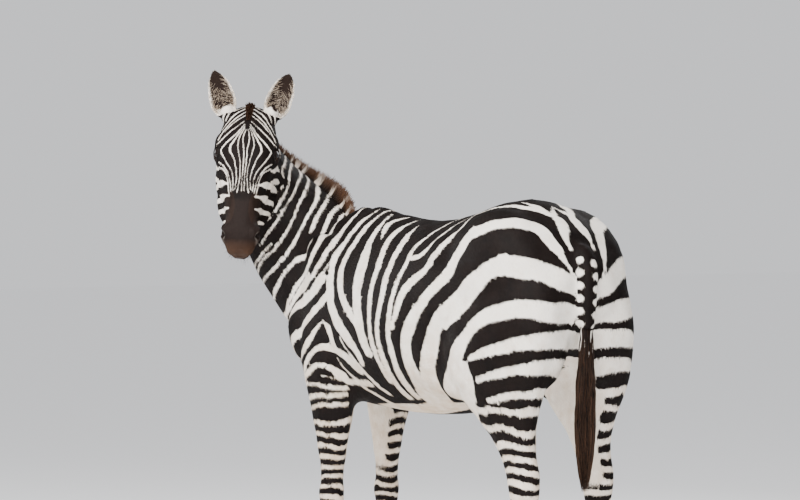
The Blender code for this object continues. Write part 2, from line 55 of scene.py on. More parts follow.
# where the body's own lines lie: body coordinates are the frame's, less this shift
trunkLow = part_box("trunk")[0]
soleLeft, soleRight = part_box("hind_hoof_left"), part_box("hind_hoof_right")
bodyShift = np.array([trunkLow.x + 0.684, (soleLeft[0].y + soleRight[1].y) / 2, 0.0])


def unit(v):
    v = np.asarray(v, float)
    return v / np.maximum(np.linalg.norm(v, axis=-1, keepdims=True), 1e-9)


def middle(node):
    low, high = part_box(node)
    return np.array((low + high) / 2)


# the head's own frame: X from poll to nose, Y to the animal's left, Z out of the forehead
headPose = {"heading": -39.0, "down": 57.0, "lean": -2.5, "eyeAlong": 0.149, "eyeHeight": -0.031}
headTurn = np.array(
    (
        Matrix.Rotation(math.radians(headPose["heading"]), 3, "Z")
        @ Matrix.Rotation(math.radians(headPose["lean"]), 3, "X")
        @ Matrix.Rotation(math.radians(headPose["down"]), 3, "Y")
    )
)
eyeMiddle = (middle("eye_left") + middle("eye_right")) / 2
poll = eyeMiddle - headTurn @ np.array([headPose["eyeAlong"], 0, headPose["eyeHeight"]])


def toHead(points):
    return (np.asarray(points) - poll) @ headTurn


def fromHead(points):
    return np.asarray(points) @ headTurn.T + poll


def toLeftHalf(head):
    # places of the head, with those of its right half mirrored to its left
    return head * (1, 0, 1) + np.abs(head) * (0, 1, 0)


# the neck's line and the way its crest points, in body coordinates
neckPose = {
    "line": (
        (-0.470, 0.000, 1.010), (-0.690, 0.020, 1.130),
        (-0.860, -0.050, 1.360), (-0.800, -0.165, 1.510),
    ),
    "upLow": (0.35, 0.0, 1.0),
    "upHigh": (-0.50, 0.42, 0.70),
    "length": 0.55,
}


def neckSection(share):
    a, b, c, d = (np.array(p) for p in neckPose["line"])
    t = min(max(share, 0.0), 1.0)
    along = unit((b - a) * (1 - t) ** 2 + (c - b) * 2 * t * (1 - t) + (d - c) * t * t)
    centre = a * (1 - t) ** 3 + b * 3 * t * (1 - t) ** 2 + c * 3 * t * t * (1 - t) + d * t**3
    centre = centre + along * (share - t) * neckPose["length"] + bodyShift
    up = unit(neckPose["upLow"]) * (1 - t) + unit(neckPose["upHigh"]) * t
    up = unit(up - along * (up @ along))
    return centre, np.cross(along, up), up, along


# ---- mesh helpers
def deselect():
    bpy.ops.object.select_all(action="DESELECT")


def useObject(obj):
    deselect()
    obj.select_set(True)
    bpy.context.view_layer.objects.active = obj


def mergedCopy(name, nodes):
    # one object from copies of CAD nodes, with each solid's loose triangles merged
    copies = []
    for node in nodes:
        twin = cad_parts[node].copy()
        twin.data = twin.data.copy()
        twin.parent = None
        for key in list(twin.keys()):
            del twin[key]
        bpy.context.scene.collection.objects.link(twin)
        copies.append(twin)
    useObject(copies[0])
    for twin in copies:
        twin.select_set(True)
    if len(copies) > 1:
        bpy.ops.object.join()
    joined = bpy.context.view_layer.objects.active
    joined.name = joined.data.name = name
    bpy.ops.object.mode_set(mode="EDIT")
    bpy.ops.mesh.select_all(action="SELECT")
    bpy.ops.mesh.remove_doubles(threshold=0.00002)
    bpy.ops.object.mode_set(mode="OBJECT")
    return joined


def applyModifier(obj, kind, **settings):
    useObject(obj)
    modifier = obj.modifiers.new(kind.lower(), kind)
    for key, value in settings.items():
        setattr(modifier, key, value)
    bpy.ops.object.modifier_apply(modifier=modifier.name)


def vertexValues(obj, what):
    values = np.empty(len(obj.data.vertices) * 3, np.float32)
    obj.data.vertices.foreach_get(what, values)
    return values.reshape(-1, 3).astype(float)


def places(obj):
    return vertexValues(obj, "co")


def setPlaces(obj, co):
    obj.data.vertices.foreach_set("co", co.astype(np.float32).ravel())
    obj.data.update()


def normals(obj):
    return vertexValues(obj, "normal")


def selectVerts(obj, mask):
    obj.data.polygons.foreach_set("select", np.zeros(len(obj.data.polygons), bool))
    obj.data.edges.foreach_set("select", np.zeros(len(obj.data.edges), bool))
    obj.data.vertices.foreach_set("select", mask)


def editSelected(obj, mask, operator, **settings):
    # one edit-mode operator on the chosen points
    selectVerts(obj, mask)
    useObject(obj)
    bpy.ops.object.mode_set(mode="EDIT")
    bpy.ops.mesh.select_mode(type="VERT")
    operator(**settings)
    bpy.ops.object.mode_set(mode="OBJECT")


def turnOut(obj):
    # turns a piece's faces outwards
    bm = bmesh.new()
    bm.from_mesh(obj.data)
    if bm.calc_volume(signed=True) < 0:
        bmesh.ops.reverse_faces(bm, faces=bm.faces)
        bm.to_mesh(obj.data)
    bm.free()


def edgeEnds(obj):
    e = np.empty(len(obj.data.edges) * 2, np.int32)
    obj.data.edges.foreach_get("vertices", e)
    return e.reshape(-1, 2)


def smoothed(values, edges, count, rounds, weight=1.0):
    # each round moves a value towards the mean of its neighbours
    degree = np.bincount(edges.ravel(), minlength=count).clip(1)[:, None]
    flat = values.reshape(count, -1)
    w = np.asarray(weight, float).reshape(-1, 1)
    for _ in range(rounds):
        total = np.zeros_like(flat)
        for k in range(flat.shape[1]):
            total[:, k] = np.bincount(edges[:, 0], flat[edges[:, 1], k], count)
            total[:, k] += np.bincount(edges[:, 1], flat[edges[:, 0], k], count)
        flat = flat + (total / degree - flat) * w
    return flat.reshape(values.shape)


# ---- skin
skinSettings = {
    "bodyVoxel": 0.0120,
    "headVoxel": 0.0038,
    "swell": 0.0007,
    "seamShare": 0.58,
    "seamGap": 0.007,
    "smoothBody": 22,
    "smoothHead": 7,
    "depthBody": 0.0030,
    "depthHead": 0.0016,
    "fitRounds": 3,
    "neckShare": 0.22,
    "trunkShare": 0.84,
}
sides = ("left", "right")
legNodes = [f"{leg}_{part}_{side}" for leg in ("fore", "hind") for part in ("leg", "shank") for side in sides]
bodyNodes = ["trunk", "neck", "tail_dock"] + legNodes
headNodes = ["head", "neck", "ear_left", "ear_right", "eye_left", "eye_right"]
fleshNodes = sorted(set(bodyNodes + headNodes))
faceNodes = ("head", "ear_left", "ear_right", "eye_left", "eye_right")


def fleshTree():
    # the CAD flesh as one searchable surface, and the node that each of its faces is of
    corners, faces, owners, start = [], [], [], 0
    for node in fleshNodes:
        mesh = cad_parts[node].data
        corners += [v.co.copy() for v in mesh.vertices]
        faces += [[start + i for i in p.vertices] for p in mesh.polygons]
        owners += [node] * len(mesh.polygons)
        start += len(mesh.vertices)
    return BVHTree.FromPolygons(corners, faces), np.array(owners)


flesh, fleshOwner = fleshTree()


def nearestFlesh(points):
    found = [flesh.find_nearest(p) for p in points]
    return np.array([f[0] for f in found]), fleshOwner[[f[2] for f in found]]


def voxelShape(name, nodes, voxel):
    shape = mergedCopy(name, nodes)
    applyModifier(shape, "DISPLACE", strength=skinSettings["swell"], mid_level=0.0)
    applyModifier(shape, "REMESH", mode="VOXEL", voxel_size=voxel)
    return shape


def cutNeck(obj, point, normal, keptNodes):
    # removes what is past a plane, but for what is of the kept nodes
    mask = ~np.isin(nearestFlesh(places(obj))[1], keptNodes)
    plane = {"plane_co": tuple(point), "plane_no": tuple(normal)}
    editSelected(obj, mask, bpy.ops.mesh.bisect, clear_outer=True, **plane)


def joinSkin():
    s = skinSettings
    body = voxelShape("skin", bodyNodes, s["bodyVoxel"])
    head = voxelShape("skinHead", headNodes, s["headVoxel"])
    centre, _, _, along = neckSection(s["seamShare"])
    cutNeck(body, centre - along * s["seamGap"] / 2, along, ["trunk", "tail_dock"] + legNodes)
    cutNeck(head, centre + along * s["seamGap"] / 2, -along, faceNodes)
    report(f"{len(body.data.vertices)} points of body, {len(head.data.vertices)} of head")
    useObject(body)
    head.select_set(True)
    bpy.ops.object.join()
    bpy.ops.object.mode_set(mode="EDIT")
    bpy.ops.mesh.select_mode(type="EDGE")
    bpy.ops.mesh.select_all(action="DESELECT")
    bpy.ops.mesh.select_non_manifold(
        extend=False, use_wire=False, use_multi_face=False, use_non_contiguous=False, use_verts=False
    )
    bpy.ops.mesh.bridge_edge_loops()
    bpy.ops.object.mode_set(mode="OBJECT")
    return body


def refine(obj, mask):
    # splits the faces among the chosen points in four
    editSelected(obj, mask, bpy.ops.mesh.subdivide, number_cuts=1, smoothness=0.0)


def thin(obj, mask, share):
    # leaves a share of the triangles among the chosen points
    editSelected(obj, mask, bpy.ops.mesh.decimate, ratio=share)


def triangleCount(obj):
    return sum(len(p.vertices) - 2 for p in obj.data.polygons)


def fitToFlesh(obj, isHead, isEar):
    # smooths the skin, and sets it inside the CAD surface by the coat's depth
    s = skinSettings
    co, edges = places(obj), edgeEnds(obj)
    count = len(co)
    held = smoothed(1.0 - isEar, edges, count, 4)[:, None]
    co = smoothed(co, edges, count, 10, weight=0.6 * (1 - held[:, 0]))
    headShare = smoothed(isHead.astype(float), edges, count, 12)
    low = np.clip((co[:, 2] - 0.30) / 0.45, 0.25, 1.0)
    co = smoothed(co, edges, count, s["smoothHead"], weight=0.5 * np.maximum(headShare, low))
    co = smoothed(co, edges, count, s["smoothBody"] - s["smoothHead"], weight=0.5 * low * (1 - headShare))
    depth = s["depthBody"] + (s["depthHead"] - s["depthBody"]) * headShare
    for _ in range(s["fitRounds"]):
        setPlaces(obj, co)
        n = normals(obj)
        near, _ = nearestFlesh(co)
        off = -depth - ((co - near) * n).sum(axis=1)
        off = np.clip(smoothed(off, edges, count, 5, weight=0.7), -0.012, 0.012)
        co = co + n * off[:, None] * held
    setPlaces(obj, co)


def pastSeamOf(co):
    centre, _, _, along = neckSection(skinSettings["seamShare"])
    return (co - centre) @ along > 0.012


skin = joinSkin()
owner = nearestFlesh(places(skin))[1]
thin(skin, (owner == "neck") & pastSeamOf(places(skin)), skinSettings["neckShare"])
owner = nearestFlesh(places(skin))[1]
smoothPart = np.isin(owner, ["trunk", "neck"] + [node for node in legNodes if "_leg_" in node])
thin(skin, smoothPart & ~pastSeamOf(places(skin)) & (places(skin)[:, 2] > 0.52), skinSettings["trunkShare"])
refine(skin, places(skin)[:, 2] < 0.44)
owner = nearestFlesh(places(skin))[1]
refine(skin, owner == "tail_dock")
owner = nearestFlesh(places(skin))[1]
isEar = np.char.startswith(owner.astype(str), "ear")
fitToFlesh(skin, np.isin(owner, faceNodes), isEar)
report(f"skin fitted, {triangleCount(skin)} triangles")


# ---- eyes, nostrils and mouth in the skin
faceSettings = {
    "eyePlace": (0.149, 0.0830, -0.031),
    "eyeLook": (0.28, 0.82, 0.50),
    "eyeRadius": 0.0205,
    "lidHalfLength": 0.0195,
    "lidHalfHeight": 0.0112,
    "lidStand": 0.0015,
    "nostril": (0.437, 0.057, -0.046),
    "nostrilSize": (0.020, 0.0095),
    "mouthCorner": 0.392,
    "mouthDepth": 0.0026,
}


def eyeFrame(side):
    # an eye's middle, and its ways along the lids, up and out, in the world
    flip = np.array([1, side, 1])
    look = unit(np.array(faceSettings["eyeLook"]) * flip)
    lids = np.array([1.0, 0, -0.25])
    lids = unit(lids - look * (lids @ look))
    up = np.cross(look, lids) * side
    up = up if up[2] > 0 else -up
    centre = fromHead(np.array(faceSettings["eyePlace"]) * flip)
    return centre, headTurn @ lids, headTurn @ up, headTurn @ look


def almondGap(u, v):
    # how far outside the opening between the lids a place is, in metres; below 0 inside
    f = faceSettings
    s = np.clip(u / f["lidHalfLength"], -1, 1)
    edge = f["lidHalfHeight"] * (1 - s * s) ** 0.75 * np.where(v > 0, 1.0, 0.80) * (1 - 0.16 * s)
    past = np.abs(u) - f["lidHalfLength"]
    return np.where(past < 0, np.abs(v) - edge, np.hypot(past, v))


def orderNew(bm, old):
    # new edges and faces are made in no fixed order: they go last, sorted by their corners
    for elements in (bm.verts, bm.edges, bm.faces):
        elements.index_update()
    for elements in (bm.edges, bm.faces):
        elements.sort(key=lambda e: e.index if e in old else 1e6 + sum(v.index**2 for v in e.verts))


def openEye(obj, side):
    centre, lids, up, look = eyeFrame(side)
    for reach in (0.031, 0.0225):
        refine(obj, np.linalg.norm(places(obj) - centre - look * 0.008, axis=1) < reach)
    co = places(obj)
    radius = faceSettings["eyeRadius"]
    offset = co - centre
    u, v, q = offset @ lids, offset @ up, offset @ look
    near = (q > 0) & (np.hypot(u, v) < 0.036)
    gap = almondGap(u, v)
    blend = np.clip(1 - gap / 0.010, 0, 1) * near
    blend = blend * blend * (3 - 2 * blend)
    shell = np.sqrt(np.maximum((radius + faceSettings["lidStand"]) ** 2 - u * u - v * v, 1e-8))
    raised = np.where(np.hypot(u, v) < radius * 0.98, shell, q)
    newQ = q + (raised - q) * blend
    fold = -0.0011 * np.exp(-(((gap - 0.0042) / 0.0011) ** 2)) * (v > 0)
    fold += -0.0007 * np.exp(-(((gap - 0.0085) / 0.0013) ** 2)) * (v > 0.004)
    fold += -0.0009 * np.exp(-(((gap - 0.0048) / 0.0012) ** 2)) * (v <= 0)
    fold += 0.0007 * np.exp(-(((gap - 0.0012) / 0.0012) ** 2))
    fold += 0.0030 * np.exp(-(((gap - 0.0150) / 0.0060) ** 2)) * np.clip(v / 0.012, 0, 1)
    newQ = newQ + fold * near
    co = co + look * (newQ - q)[:, None] * near[:, None]
    setPlaces(obj, co)
    bm = bmesh.new()
    bm.from_mesh(obj.data)
    bm.verts.ensure_lookup_table()
    inside = near & (gap < -0.0004)
    doomed = [f for f in bm.faces if all(inside[vert.index] for vert in f.verts)]
    bmesh.ops.delete(bm, geom=doomed, context="FACES")
    old = set(bm.edges) | set(bm.faces)
    rim = [e for e in bm.edges if len(e.link_faces) == 1]
    f = faceSettings
    for vert in {w for e in rim for w in e.verts}:
        d = np.array(vert.co) - centre
        a, b = d @ lids, d @ up
        s = min(max(a / f["lidHalfLength"], -0.995), 0.995)
        edge = f["lidHalfHeight"] * (1 - s * s) ** 0.75 * (1.0 if b > 0 else 0.80) * (1 - 0.16 * s)
        a, b = s * f["lidHalfLength"], math.copysign(edge, b)
        c = math.sqrt((radius + f["lidStand"]) ** 2 - a * a - b * b)
        vert.co = Vector(centre + lids * a + up * b + look * c)
    for depth in (0.0009, -0.0024, -0.0050):
        made = bmesh.ops.extrude_edge_only(bm, edges=rim)["geom"]
        rim = [g for g in made if isinstance(g, bmesh.types.BMEdge) and len(g.link_faces) == 1]
        for vert in {w for e in rim for w in e.verts}:
            d = unit(np.array(vert.co) - centre)
            vert.co = Vector(centre + d * (radius + depth))
    bmesh.ops.contextual_create(bm, geom=rim)
    bmesh.ops.recalc_face_normals(bm, faces=bm.faces)
    orderNew(bm, old)
    bm.to_mesh(obj.data)
    bm.free()
    obj.data.update()


def nostrilRing(head, side):
    # 0 in the middle of a nostril, 1 at its edge, more outside; and how far forward each place is
    f = faceSettings
    gap = head - np.array(f["nostril"]) * np.array([1, side, 1])
    along = gap @ unit(np.array([0.86, -0.10 * side, -0.50]))
    across = gap @ unit(np.array([0.50, 0.12 * side, 0.86]))
    curl = across + 0.35 * along * along / f["nostrilSize"][0]
    ring = np.hypot(along / f["nostrilSize"][0], curl / f["nostrilSize"][1])
    return np.where(np.abs(gap[:, 1]) < 0.030, ring, 9.0), gap[:, 0]


def shapeMuzzle(obj):
    # nostrils sunk with a raised rim, the line of the mouth, and soft wrinkles round both
    f = faceSettings
    head = toHead(places(obj))
    low, high = (0.385, -0.09, -0.16), (0.9, 0.09, 0.02)
    refine(obj, ((head > low) & (head < high)).all(axis=1))
    co, out = places(obj), normals(obj)
    head = toHead(co)
    push = np.zeros(len(co))
    for side in (1, -1):
        r = nostrilRing(head, side)[0]
        push -= 0.0125 * np.clip(1 - r * r, 0, 1) ** 0.6
        push += 0.0026 * np.exp(-(((r - 1.30) / 0.28) ** 2))
        push -= 0.0008 * np.exp(-(((r - 2.0) / 0.22) ** 2))
    line = -0.098 - 0.16 * np.clip(0.480 - head[:, 0], 0, 0.2)
    above, forward = head[:, 2] - line, head[:, 0] - f["mouthCorner"]
    mouth = np.exp(-((above / 0.0021) ** 2)) * np.clip(forward / 0.01, 0, 1)
    push -= f["mouthDepth"] * mouth * (np.abs(head[:, 1]) < 0.08)
    lips = sum(np.exp(-(((above + lip) / 0.003) ** 2)) for lip in (-0.0055, 0.0055))
    push += 0.0009 * lips * np.clip(forward / 0.02, 0, 1)
    wrinkle = np.sin(head[:, 0] * 900 + 14 * np.abs(head[:, 1]))
    wrinkle *= np.clip(1 - np.abs(head[:, 0] - 0.41) / 0.03, 0, 1)
    push += 0.00035 * wrinkle * (head[:, 2] > -0.10) * (np.abs(head[:, 1]) > 0.02) * (head[:, 0] > 0.38)
    setPlaces(obj, co + out * push[:, None])


for side in (1, -1):
    openEye(skin, side)
shapeMuzzle(skin)
owner = nearestFlesh(places(skin))[1]
report(f"eyes opened, {triangleCount(skin)} triangles")


# ---- markings: the white lines are strokes over black, laid on the left and mirrored to the right
markSettings = {"fill": 4, "step": 0.006, "wobbleBody": 0.0025, "wobbleHead": 0.0011, "far": 0.02}

# body lines: along the trunk in cm, degrees down from the back's top, width in mm
trunkLines = (
    ((-31, 3, 5), (-36, 20, 30), (-38, 50, 26), (-33, 82, 36)),
    ((-27, 0, 5), (-30, 25, 30), (-31, 55, 38), (-24, 82, 30), (-12, 100, 25), (-7, 118, 22)),
    ((-24, 5, 7), (-21, 30, 30), (-17, 58, 64), (-13, 85, 50), (-5, 118, 25)),
    ((-15, 3, 4), (-19, 15, 28), (-15, 30, 12)),
    ((-10, 5, 4), (-10, 30, 28), (-6, 60, 30), (-4, 95, 22), (0, 135, 24)),
    ((-4, 15, 4), (0, 40, 32), (2, 75, 28), (1, 105, 22), (3, 148, 29)),
    ((17, 10, 4), (13, 28, 12), (9, 45, 23), (10, 60, 20), (7, 95, 22), (7, 148, 30)),
    ((10, 54, 14), (16, 50, 22), (20, 33, 11), (24, 17, 4)),
    ((26, 15, 4), (30, 45, 20), (22, 61, 24), (14, 75, 33), (9, 99, 20)),
    ((66, 15, 4), (60, 5, 24), (48, 14, 22), (26, 18, 5)),
    ((44, 9, 4), (53, 9, 25)),
    ((42, 43, 44), (35, 61, 46), (24, 80, 37), (15, 108, 45), (15, 130, 72), (13, 150, 87)),
    ((57, 55, 44), (45, 72, 50), (30, 94, 46), (24, 120, 55), (20, 147, 118)),
    ((58, 85, 28), (47, 100, 35), (39, 117, 60), (34, 133, 100)),
    ((52, 0, 4), (57, -6, 20), (66, -13, 14)),
    ((26, 160, 90), (-8, 165, 95), (-22, 170, 62)),
    ((-24, 112, 6), (-12, 133, 20), (-6, 147, 20)),
    ((-28, 128, 6), (-17, 148, 22), (-11, 158, 24)),
)
# rump and thigh: degrees round from the tail towards the flank, height in cm, width in mm
rumpLines = (
    ((98, 124, 44), (75, 127, 38), (50, 127, 48), (30, 123, 42), (13, 112, 6)),
    ((116, 98, 55), (95, 105, 65), (70, 114, 52), (45, 114, 62), (20, 110, 58), (4, 106, 40)),
    ((104, 88, 45), (80, 98, 42), (55, 102, 52), (25, 101, 61), (3, 99, 52)),
    ((86, 87, 16), (60, 91, 37), (30, 93, 53), (2, 92, 61)),
    ((81, 81, 16), (55, 84, 27), (35, 85, 46), (14, 84, 61)),
    ((73, 75, 16), (50, 77, 26), (20, 77, 32)),
    ((99, 71, 110), (96, 79, 96), (93, 84, 50)),
)
# neck: hundredths of the way to the poll, degrees down from the crest, width in mm
neckLines = (
    ((81, 7, 4), (82, 50, 6), (79, 90, 7), (69, 112, 5)),
    ((77, 6, 6), (76, 65, 7), (66, 100, 7), (57, 124, 8), (56, 142, 5)),
    ((74, 5, 10), (68, 60, 8), (58, 98, 7), (51, 128, 8), (48, 150, 5)),
    ((71, 4, 5), (67, 25, 10), (56, 70, 8), (43, 105, 9), (42, 172, 5)),
    ((45, 128, 5), (44, 150, 8), (45, 176, 5)),
    ((64, 7, 5), (58, 25, 15), (42, 64, 10), (35, 92, 13), (35, 130, 11), (38, 176, 7)),
    ((54, 7, 5), (45, 33, 12), (37, 51, 14), (34, 57, 7)),
    ((45, 3, 8), (38, 23, 15), (26, 47, 15), (22, 60, 18), (27, 92, 16), (29, 140, 15), (30, 177, 10)),
    ((37, 2, 8), (30, 20, 13), (14, 48, 22), (12, 70, 21), (17, 100, 18), (21, 176, 10)),
    ((17, 5, 4), (15, 22, 22), (4, 41, 18), (2, 62, 16), (6, 75, 8)),
    ((-3, 46, 4), (-3, 65, 16), (5, 94, 24)),
    ((88, 14, 4), (89, 45, 8), (86, 110, 9), (82, 168, 4)),
    ((96, 24, 4), (97, 70, 9), (92, 150, 4)),
)
# shoulder and foreleg: degrees round the leg from behind, height in cm, width in mm
shoulderLines = (
    ((165, 109, 34), (178, 105, 38), (186, 98, 15), (207, 90, 6)),
    ((102, 109, 22), (140, 105, 28), (170, 101, 30), (184, 91, 11), (205, 83, 6)),
    ((45, 109, 30), (42, 105, 38), (70, 102, 28), (120, 98, 30), (165, 92, 27), (188, 82, 15), (200, 78, 6)),
    ((40, 104, 36), (32, 98, 43), (22, 89, 37), (18, 84, 28)),
    ((58, 96, 6), (95, 91, 25), (120, 88, 30), (160, 82, 16)),
    ((58, 96, 5), (40, 93, 24), (31, 88, 28)),
    ((165, 75, 12), (115, 83, 20), (67, 87, 17), (30, 87, 25), (16, 81, 38)),
    ((170, 72, 12), (120, 79, 20), (50, 82, 13), (18, 79, 30)),
    ((56, 79, 4), (20, 78, 12), (10, 77, 22)),
    ((210, 75, 8), (110, 76, 10), (12, 75, 14)),
    ((225, 70, 8), (112, 72, 14), (10, 73, 14)),
    ((235, 67, 8), (95, 69, 12), (5, 70, 14)),
)
# face, seen from the front: mm from poll to nose, mm out from the middle, width in mm
faceLines = (
    ((88, 3, 2), (125, 10, 3), (180, 5, 3), (306, 4, 3)),
    ((84, 8, 2), (120, 21, 3), (155, 25, 3), (210, 15, 2), (265, 12, 3), (312, 18, 3)),
    ((76, 8, 2), (116, 29, 4), (164, 50, 6), (199, 36, 3), (260, 22, 3), (300, 25, 3)),
    ((66, 8, 2), (110, 35, 4), (147, 69, 6), (165, 80, 5), (205, 62, 3), (250, 37, 3), (304, 31, 3)),
    ((54, 12, 2), (86, 42, 4), (116, 74, 5), (136, 95, 3)),
    ((22, 8, 2), (48, 36, 4), (70, 55, 5), (92, 73, 2)),
    ((6, 9, 3), (34, 39, 5), (76, 70, 5), (118, 92, 3)),
    ((-12, 11, 4), (18, 47, 5), (84, 90, 4)),
    ((-34, 14, 3), (-4, 48, 4), (34, 74, 4)),
    ((2, 74, 4), (25, 83, 6), (66, 92, 4)),
    ((196, 86, 3), (225, 65, 4), (262, 46, 3), (308, 37, 3)),
    ((212, 84, 4), (250, 56, 4), (316, 43, 3)),
)
# cheek, seen from the side: mm from poll to nose, mm down from the forehead's plane, width in mm
cheekLines = (
    ((216, 20, 6), (190, 54, 16), (146, 112, 18), (118, 172, 8)),
    ((236, 50, 6), (208, 92, 18), (170, 154, 15), (162, 174, 7)),
    ((279, 2, 6), (262, 32, 22), (226, 104, 22), (198, 172, 8)),
    ((319, 8, 6), (296, 62, 22), (258, 142, 16), (248, 166, 7)),
    ((360, 18, 5), (334, 70, 18), (300, 142, 13), (292, 160, 6)),
    ((386, 52, 4), (352, 112, 13), (334, 148, 5)),
    ((144, 62, 5), (108, 114, 16), (78, 174, 6)),
    ((110, 52, 4), (70, 104, 12), (54, 130, 7)),
    ((70, 48, 4), (32, 94, 10), (18, 118, 6)),
    ((30, 56, 4), (-4, 100, 9), (-16, 120, 5)),
)


def legRows(top, low, count, bend, widest, least):
    # white rings down a lower leg, closer together towards the foot: height in cm and width in mm
    shares = np.arange(count) / (count - 1)
    return [(top - (top - low) * s**bend, widest - (widest - least) * s**1.5) for s in shares]


legRings = {"fore": legRows(64.5, 14, 16, 0.93, 15, 9), "hind": legRows(72, 13.5, 17, 0.85, 19, 8)}

def sinesOf(points, size, seed):
    # a smooth wobble between about -1 and 1, of the given size in metres
    turn = np.random.default_rng(seed)
    total = np.zeros(len(points))
    for k in range(7):
        way = unit(turn.normal(size=3)) * (2 * math.pi / size) * turn.uniform(0.5, 1.7)
        total += np.sin(points @ way + turn.uniform(0, 6.28))
    return total / 2.6


def treeOf(obj):
    mesh = obj.data
    return BVHTree.FromPolygons([v.co for v in mesh.vertices], [tuple(p.vertices) for p in mesh.polygons])


skinTree, headTree, neckTree = (treeOf(obj) for obj in (skin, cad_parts["head"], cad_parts["neck"]))


def castFrom(tree, origin, towards):
    # the first place of a surface on the way from one point towards another
    way = unit(np.array(towards) - np.array(origin))
    found = tree.ray_cast(Vector(origin), Vector(way))[0]
    return np.array(found if found else tree.find_nearest(Vector(towards))[0])


def linePlace(region, a, b, side):
    # the place on the surface of one point of a line; side is -1 on the left and 1 on the right
    turn = math.radians(b)
    if region == "trunk":
        centre = np.array([a / 100, 0, 1.0]) + bodyShift
        return castFrom(skinTree, centre, centre + 0.3 * np.array([0, side * math.sin(turn), math.cos(turn)]))
    if region in ("rump", "shoulder"):
        turn = math.radians(a)
        out = np.array([math.cos(turn), side * math.sin(turn), 0])
        if region == "rump":
            centre = np.array([0.45, 0, b / 100]) + bodyShift
            return castFrom(skinTree, centre + out * 0.7, centre)
        centre = np.array([-0.40, side * 0.142, b / 100]) + bodyShift
        return castFrom(skinTree, centre, centre + out * 0.1)
    if region == "neck":
        centre, across, up, _ = neckSection(a / 100)
        tree = neckTree if 28 <= a <= 70 or b > 95 and a > 28 else skinTree
        return castFrom(tree, centre, centre + 0.1 * (across * side * math.sin(turn) + up * math.cos(turn)))
    if region == "face":
        start, end = ((a / 1000, -side * b / 1000, height) for height in (0.3, -0.04))
    else:
        start, end = ((a / 1000, out, -b / 1000) for out in (0, -side * 0.1))
    return castFrom(headTree, fromHead(start), fromHead(end))


def fillIn(points, widths, stepsOf):
    # more places and widths on a smooth curve through the points; stepsOf gives the number for each span
    padded = np.vstack([2 * points[0] - points[1], points, 2 * points[-1] - points[-2]])
    curve, spread = [], []
    for i in range(len(points) - 1):
        p0, p1, p2, p3 = padded[i : i + 4]
        for t in np.linspace(0, 1, stepsOf(p2 - p1), endpoint=False):
            bend = (2 * p0 - 5 * p1 + 4 * p2 - p3) * t * t + (3 * p1 - p0 - 3 * p2 + p3) * t**3
            curve.append(0.5 * (2 * p1 + (p2 - p0) * t + bend))
            spread.append(widths[i] + (widths[i + 1] - widths[i]) * t * t * (3 - 2 * t))
    return curve + [points[-1]], spread + [widths[-1]]


def smoothCurve(points, widths, step):
    # a smooth line through the points, as one or more runs of close places and half widths on the skin
    curve, spread = fillIn(points, widths, lambda span: max(2, int(np.linalg.norm(span) / step)))
    runs, places, halves = [], [], []
    for place, width in zip(curve, spread):
        on, _, _, away = skinTree.find_nearest(Vector(place))
        if away < 0.035:
            places.append(on)
            halves.append(width / 2000)
        if (away >= 0.035 or place is curve[-1]) and places:
            if len(places) > 2:
                runs.append((np.array(places), np.array(halves)))
            places, halves = [], []
    return runs


def layLines():
    lines = []
    tables = (
        ("trunk", trunkLines), ("rump", rumpLines), ("neck", neckLines),
        ("shoulder", shoulderLines), ("face", faceLines), ("cheek", cheekLines),
    )
    for region, table in tables:
        onHead = region in ("face", "cheek")
        step = 0.004 if onHead else markSettings["step"]
        for row in table:
            points = np.array(row, float)
            measures, widths = fillIn(points[:, :2], points[:, 2], lambda span: markSettings["fill"])
            for side in (-1, 1):
                spots = np.array([linePlace(region, a, b, side) for a, b in measures])
                lines += [(onHead, *run) for run in smoothCurve(spots, widths, step)]
    return lines


whiteLines = layLines()


def segmentValue(points, start, end, startHalf, endHalf):
    # how far inside one piece of a line each point is, in metres
    along = end - start
    t = np.clip(((points - start) @ along) / max(along @ along, 1e-9), 0, 1)
    gap = np.linalg.norm(points - start - t[:, None] * along, axis=1)
    return startHalf + (endHalf - startHalf) * t - gap


def lineValues(points, isHead):
    # the white lines over all points: above 0 inside a line, below 0 outside, in metres
    far = markSettings["far"]
    value = np.full(len(points), -far)
    amount = np.where(isHead, markSettings["wobbleHead"], markSettings["wobbleBody"])
    moved = points.copy()
    for k in range(3):
        coarse, fine = sinesOf(points, 0.11, 40 + k), sinesOf(points, 0.028, 50 + k)
        moved[:, k] += amount * (coarse * 0.8 + fine * 0.45)
    order = np.argsort(moved[:, 0])
    column = moved[order, 0]
    for onHead, curve, half in whiteLines:
        reach = half.max() + far
        low, high = curve.min(axis=0) - reach, curve.max(axis=0) + reach
        chosen = order[np.searchsorted(column, low[0]) : np.searchsorted(column, high[0])]
        chosen = chosen[((moved[chosen, 1:] > low[1:]) & (moved[chosen, 1:] < high[1:])).all(axis=1)]
        chosen = chosen[isHead[chosen] == onHead]
        if not len(chosen):
            continue
        local = moved[chosen]
        best = np.full(len(chosen), -far)
        for i in range(len(curve) - 1):
            limit = max(half[i], half[i + 1]) + far * 0.6
            offset = np.abs(local - (curve[i] + curve[i + 1]) / 2)
            close = np.flatnonzero((offset < limit + 0.004).all(axis=1))
            if len(close):
                found = segmentValue(local[close], curve[i], curve[i + 1], half[i], half[i + 1])
                best[close] = np.maximum(best[close], found)
        value[chosen] = np.maximum(value[chosen], best)
    return value


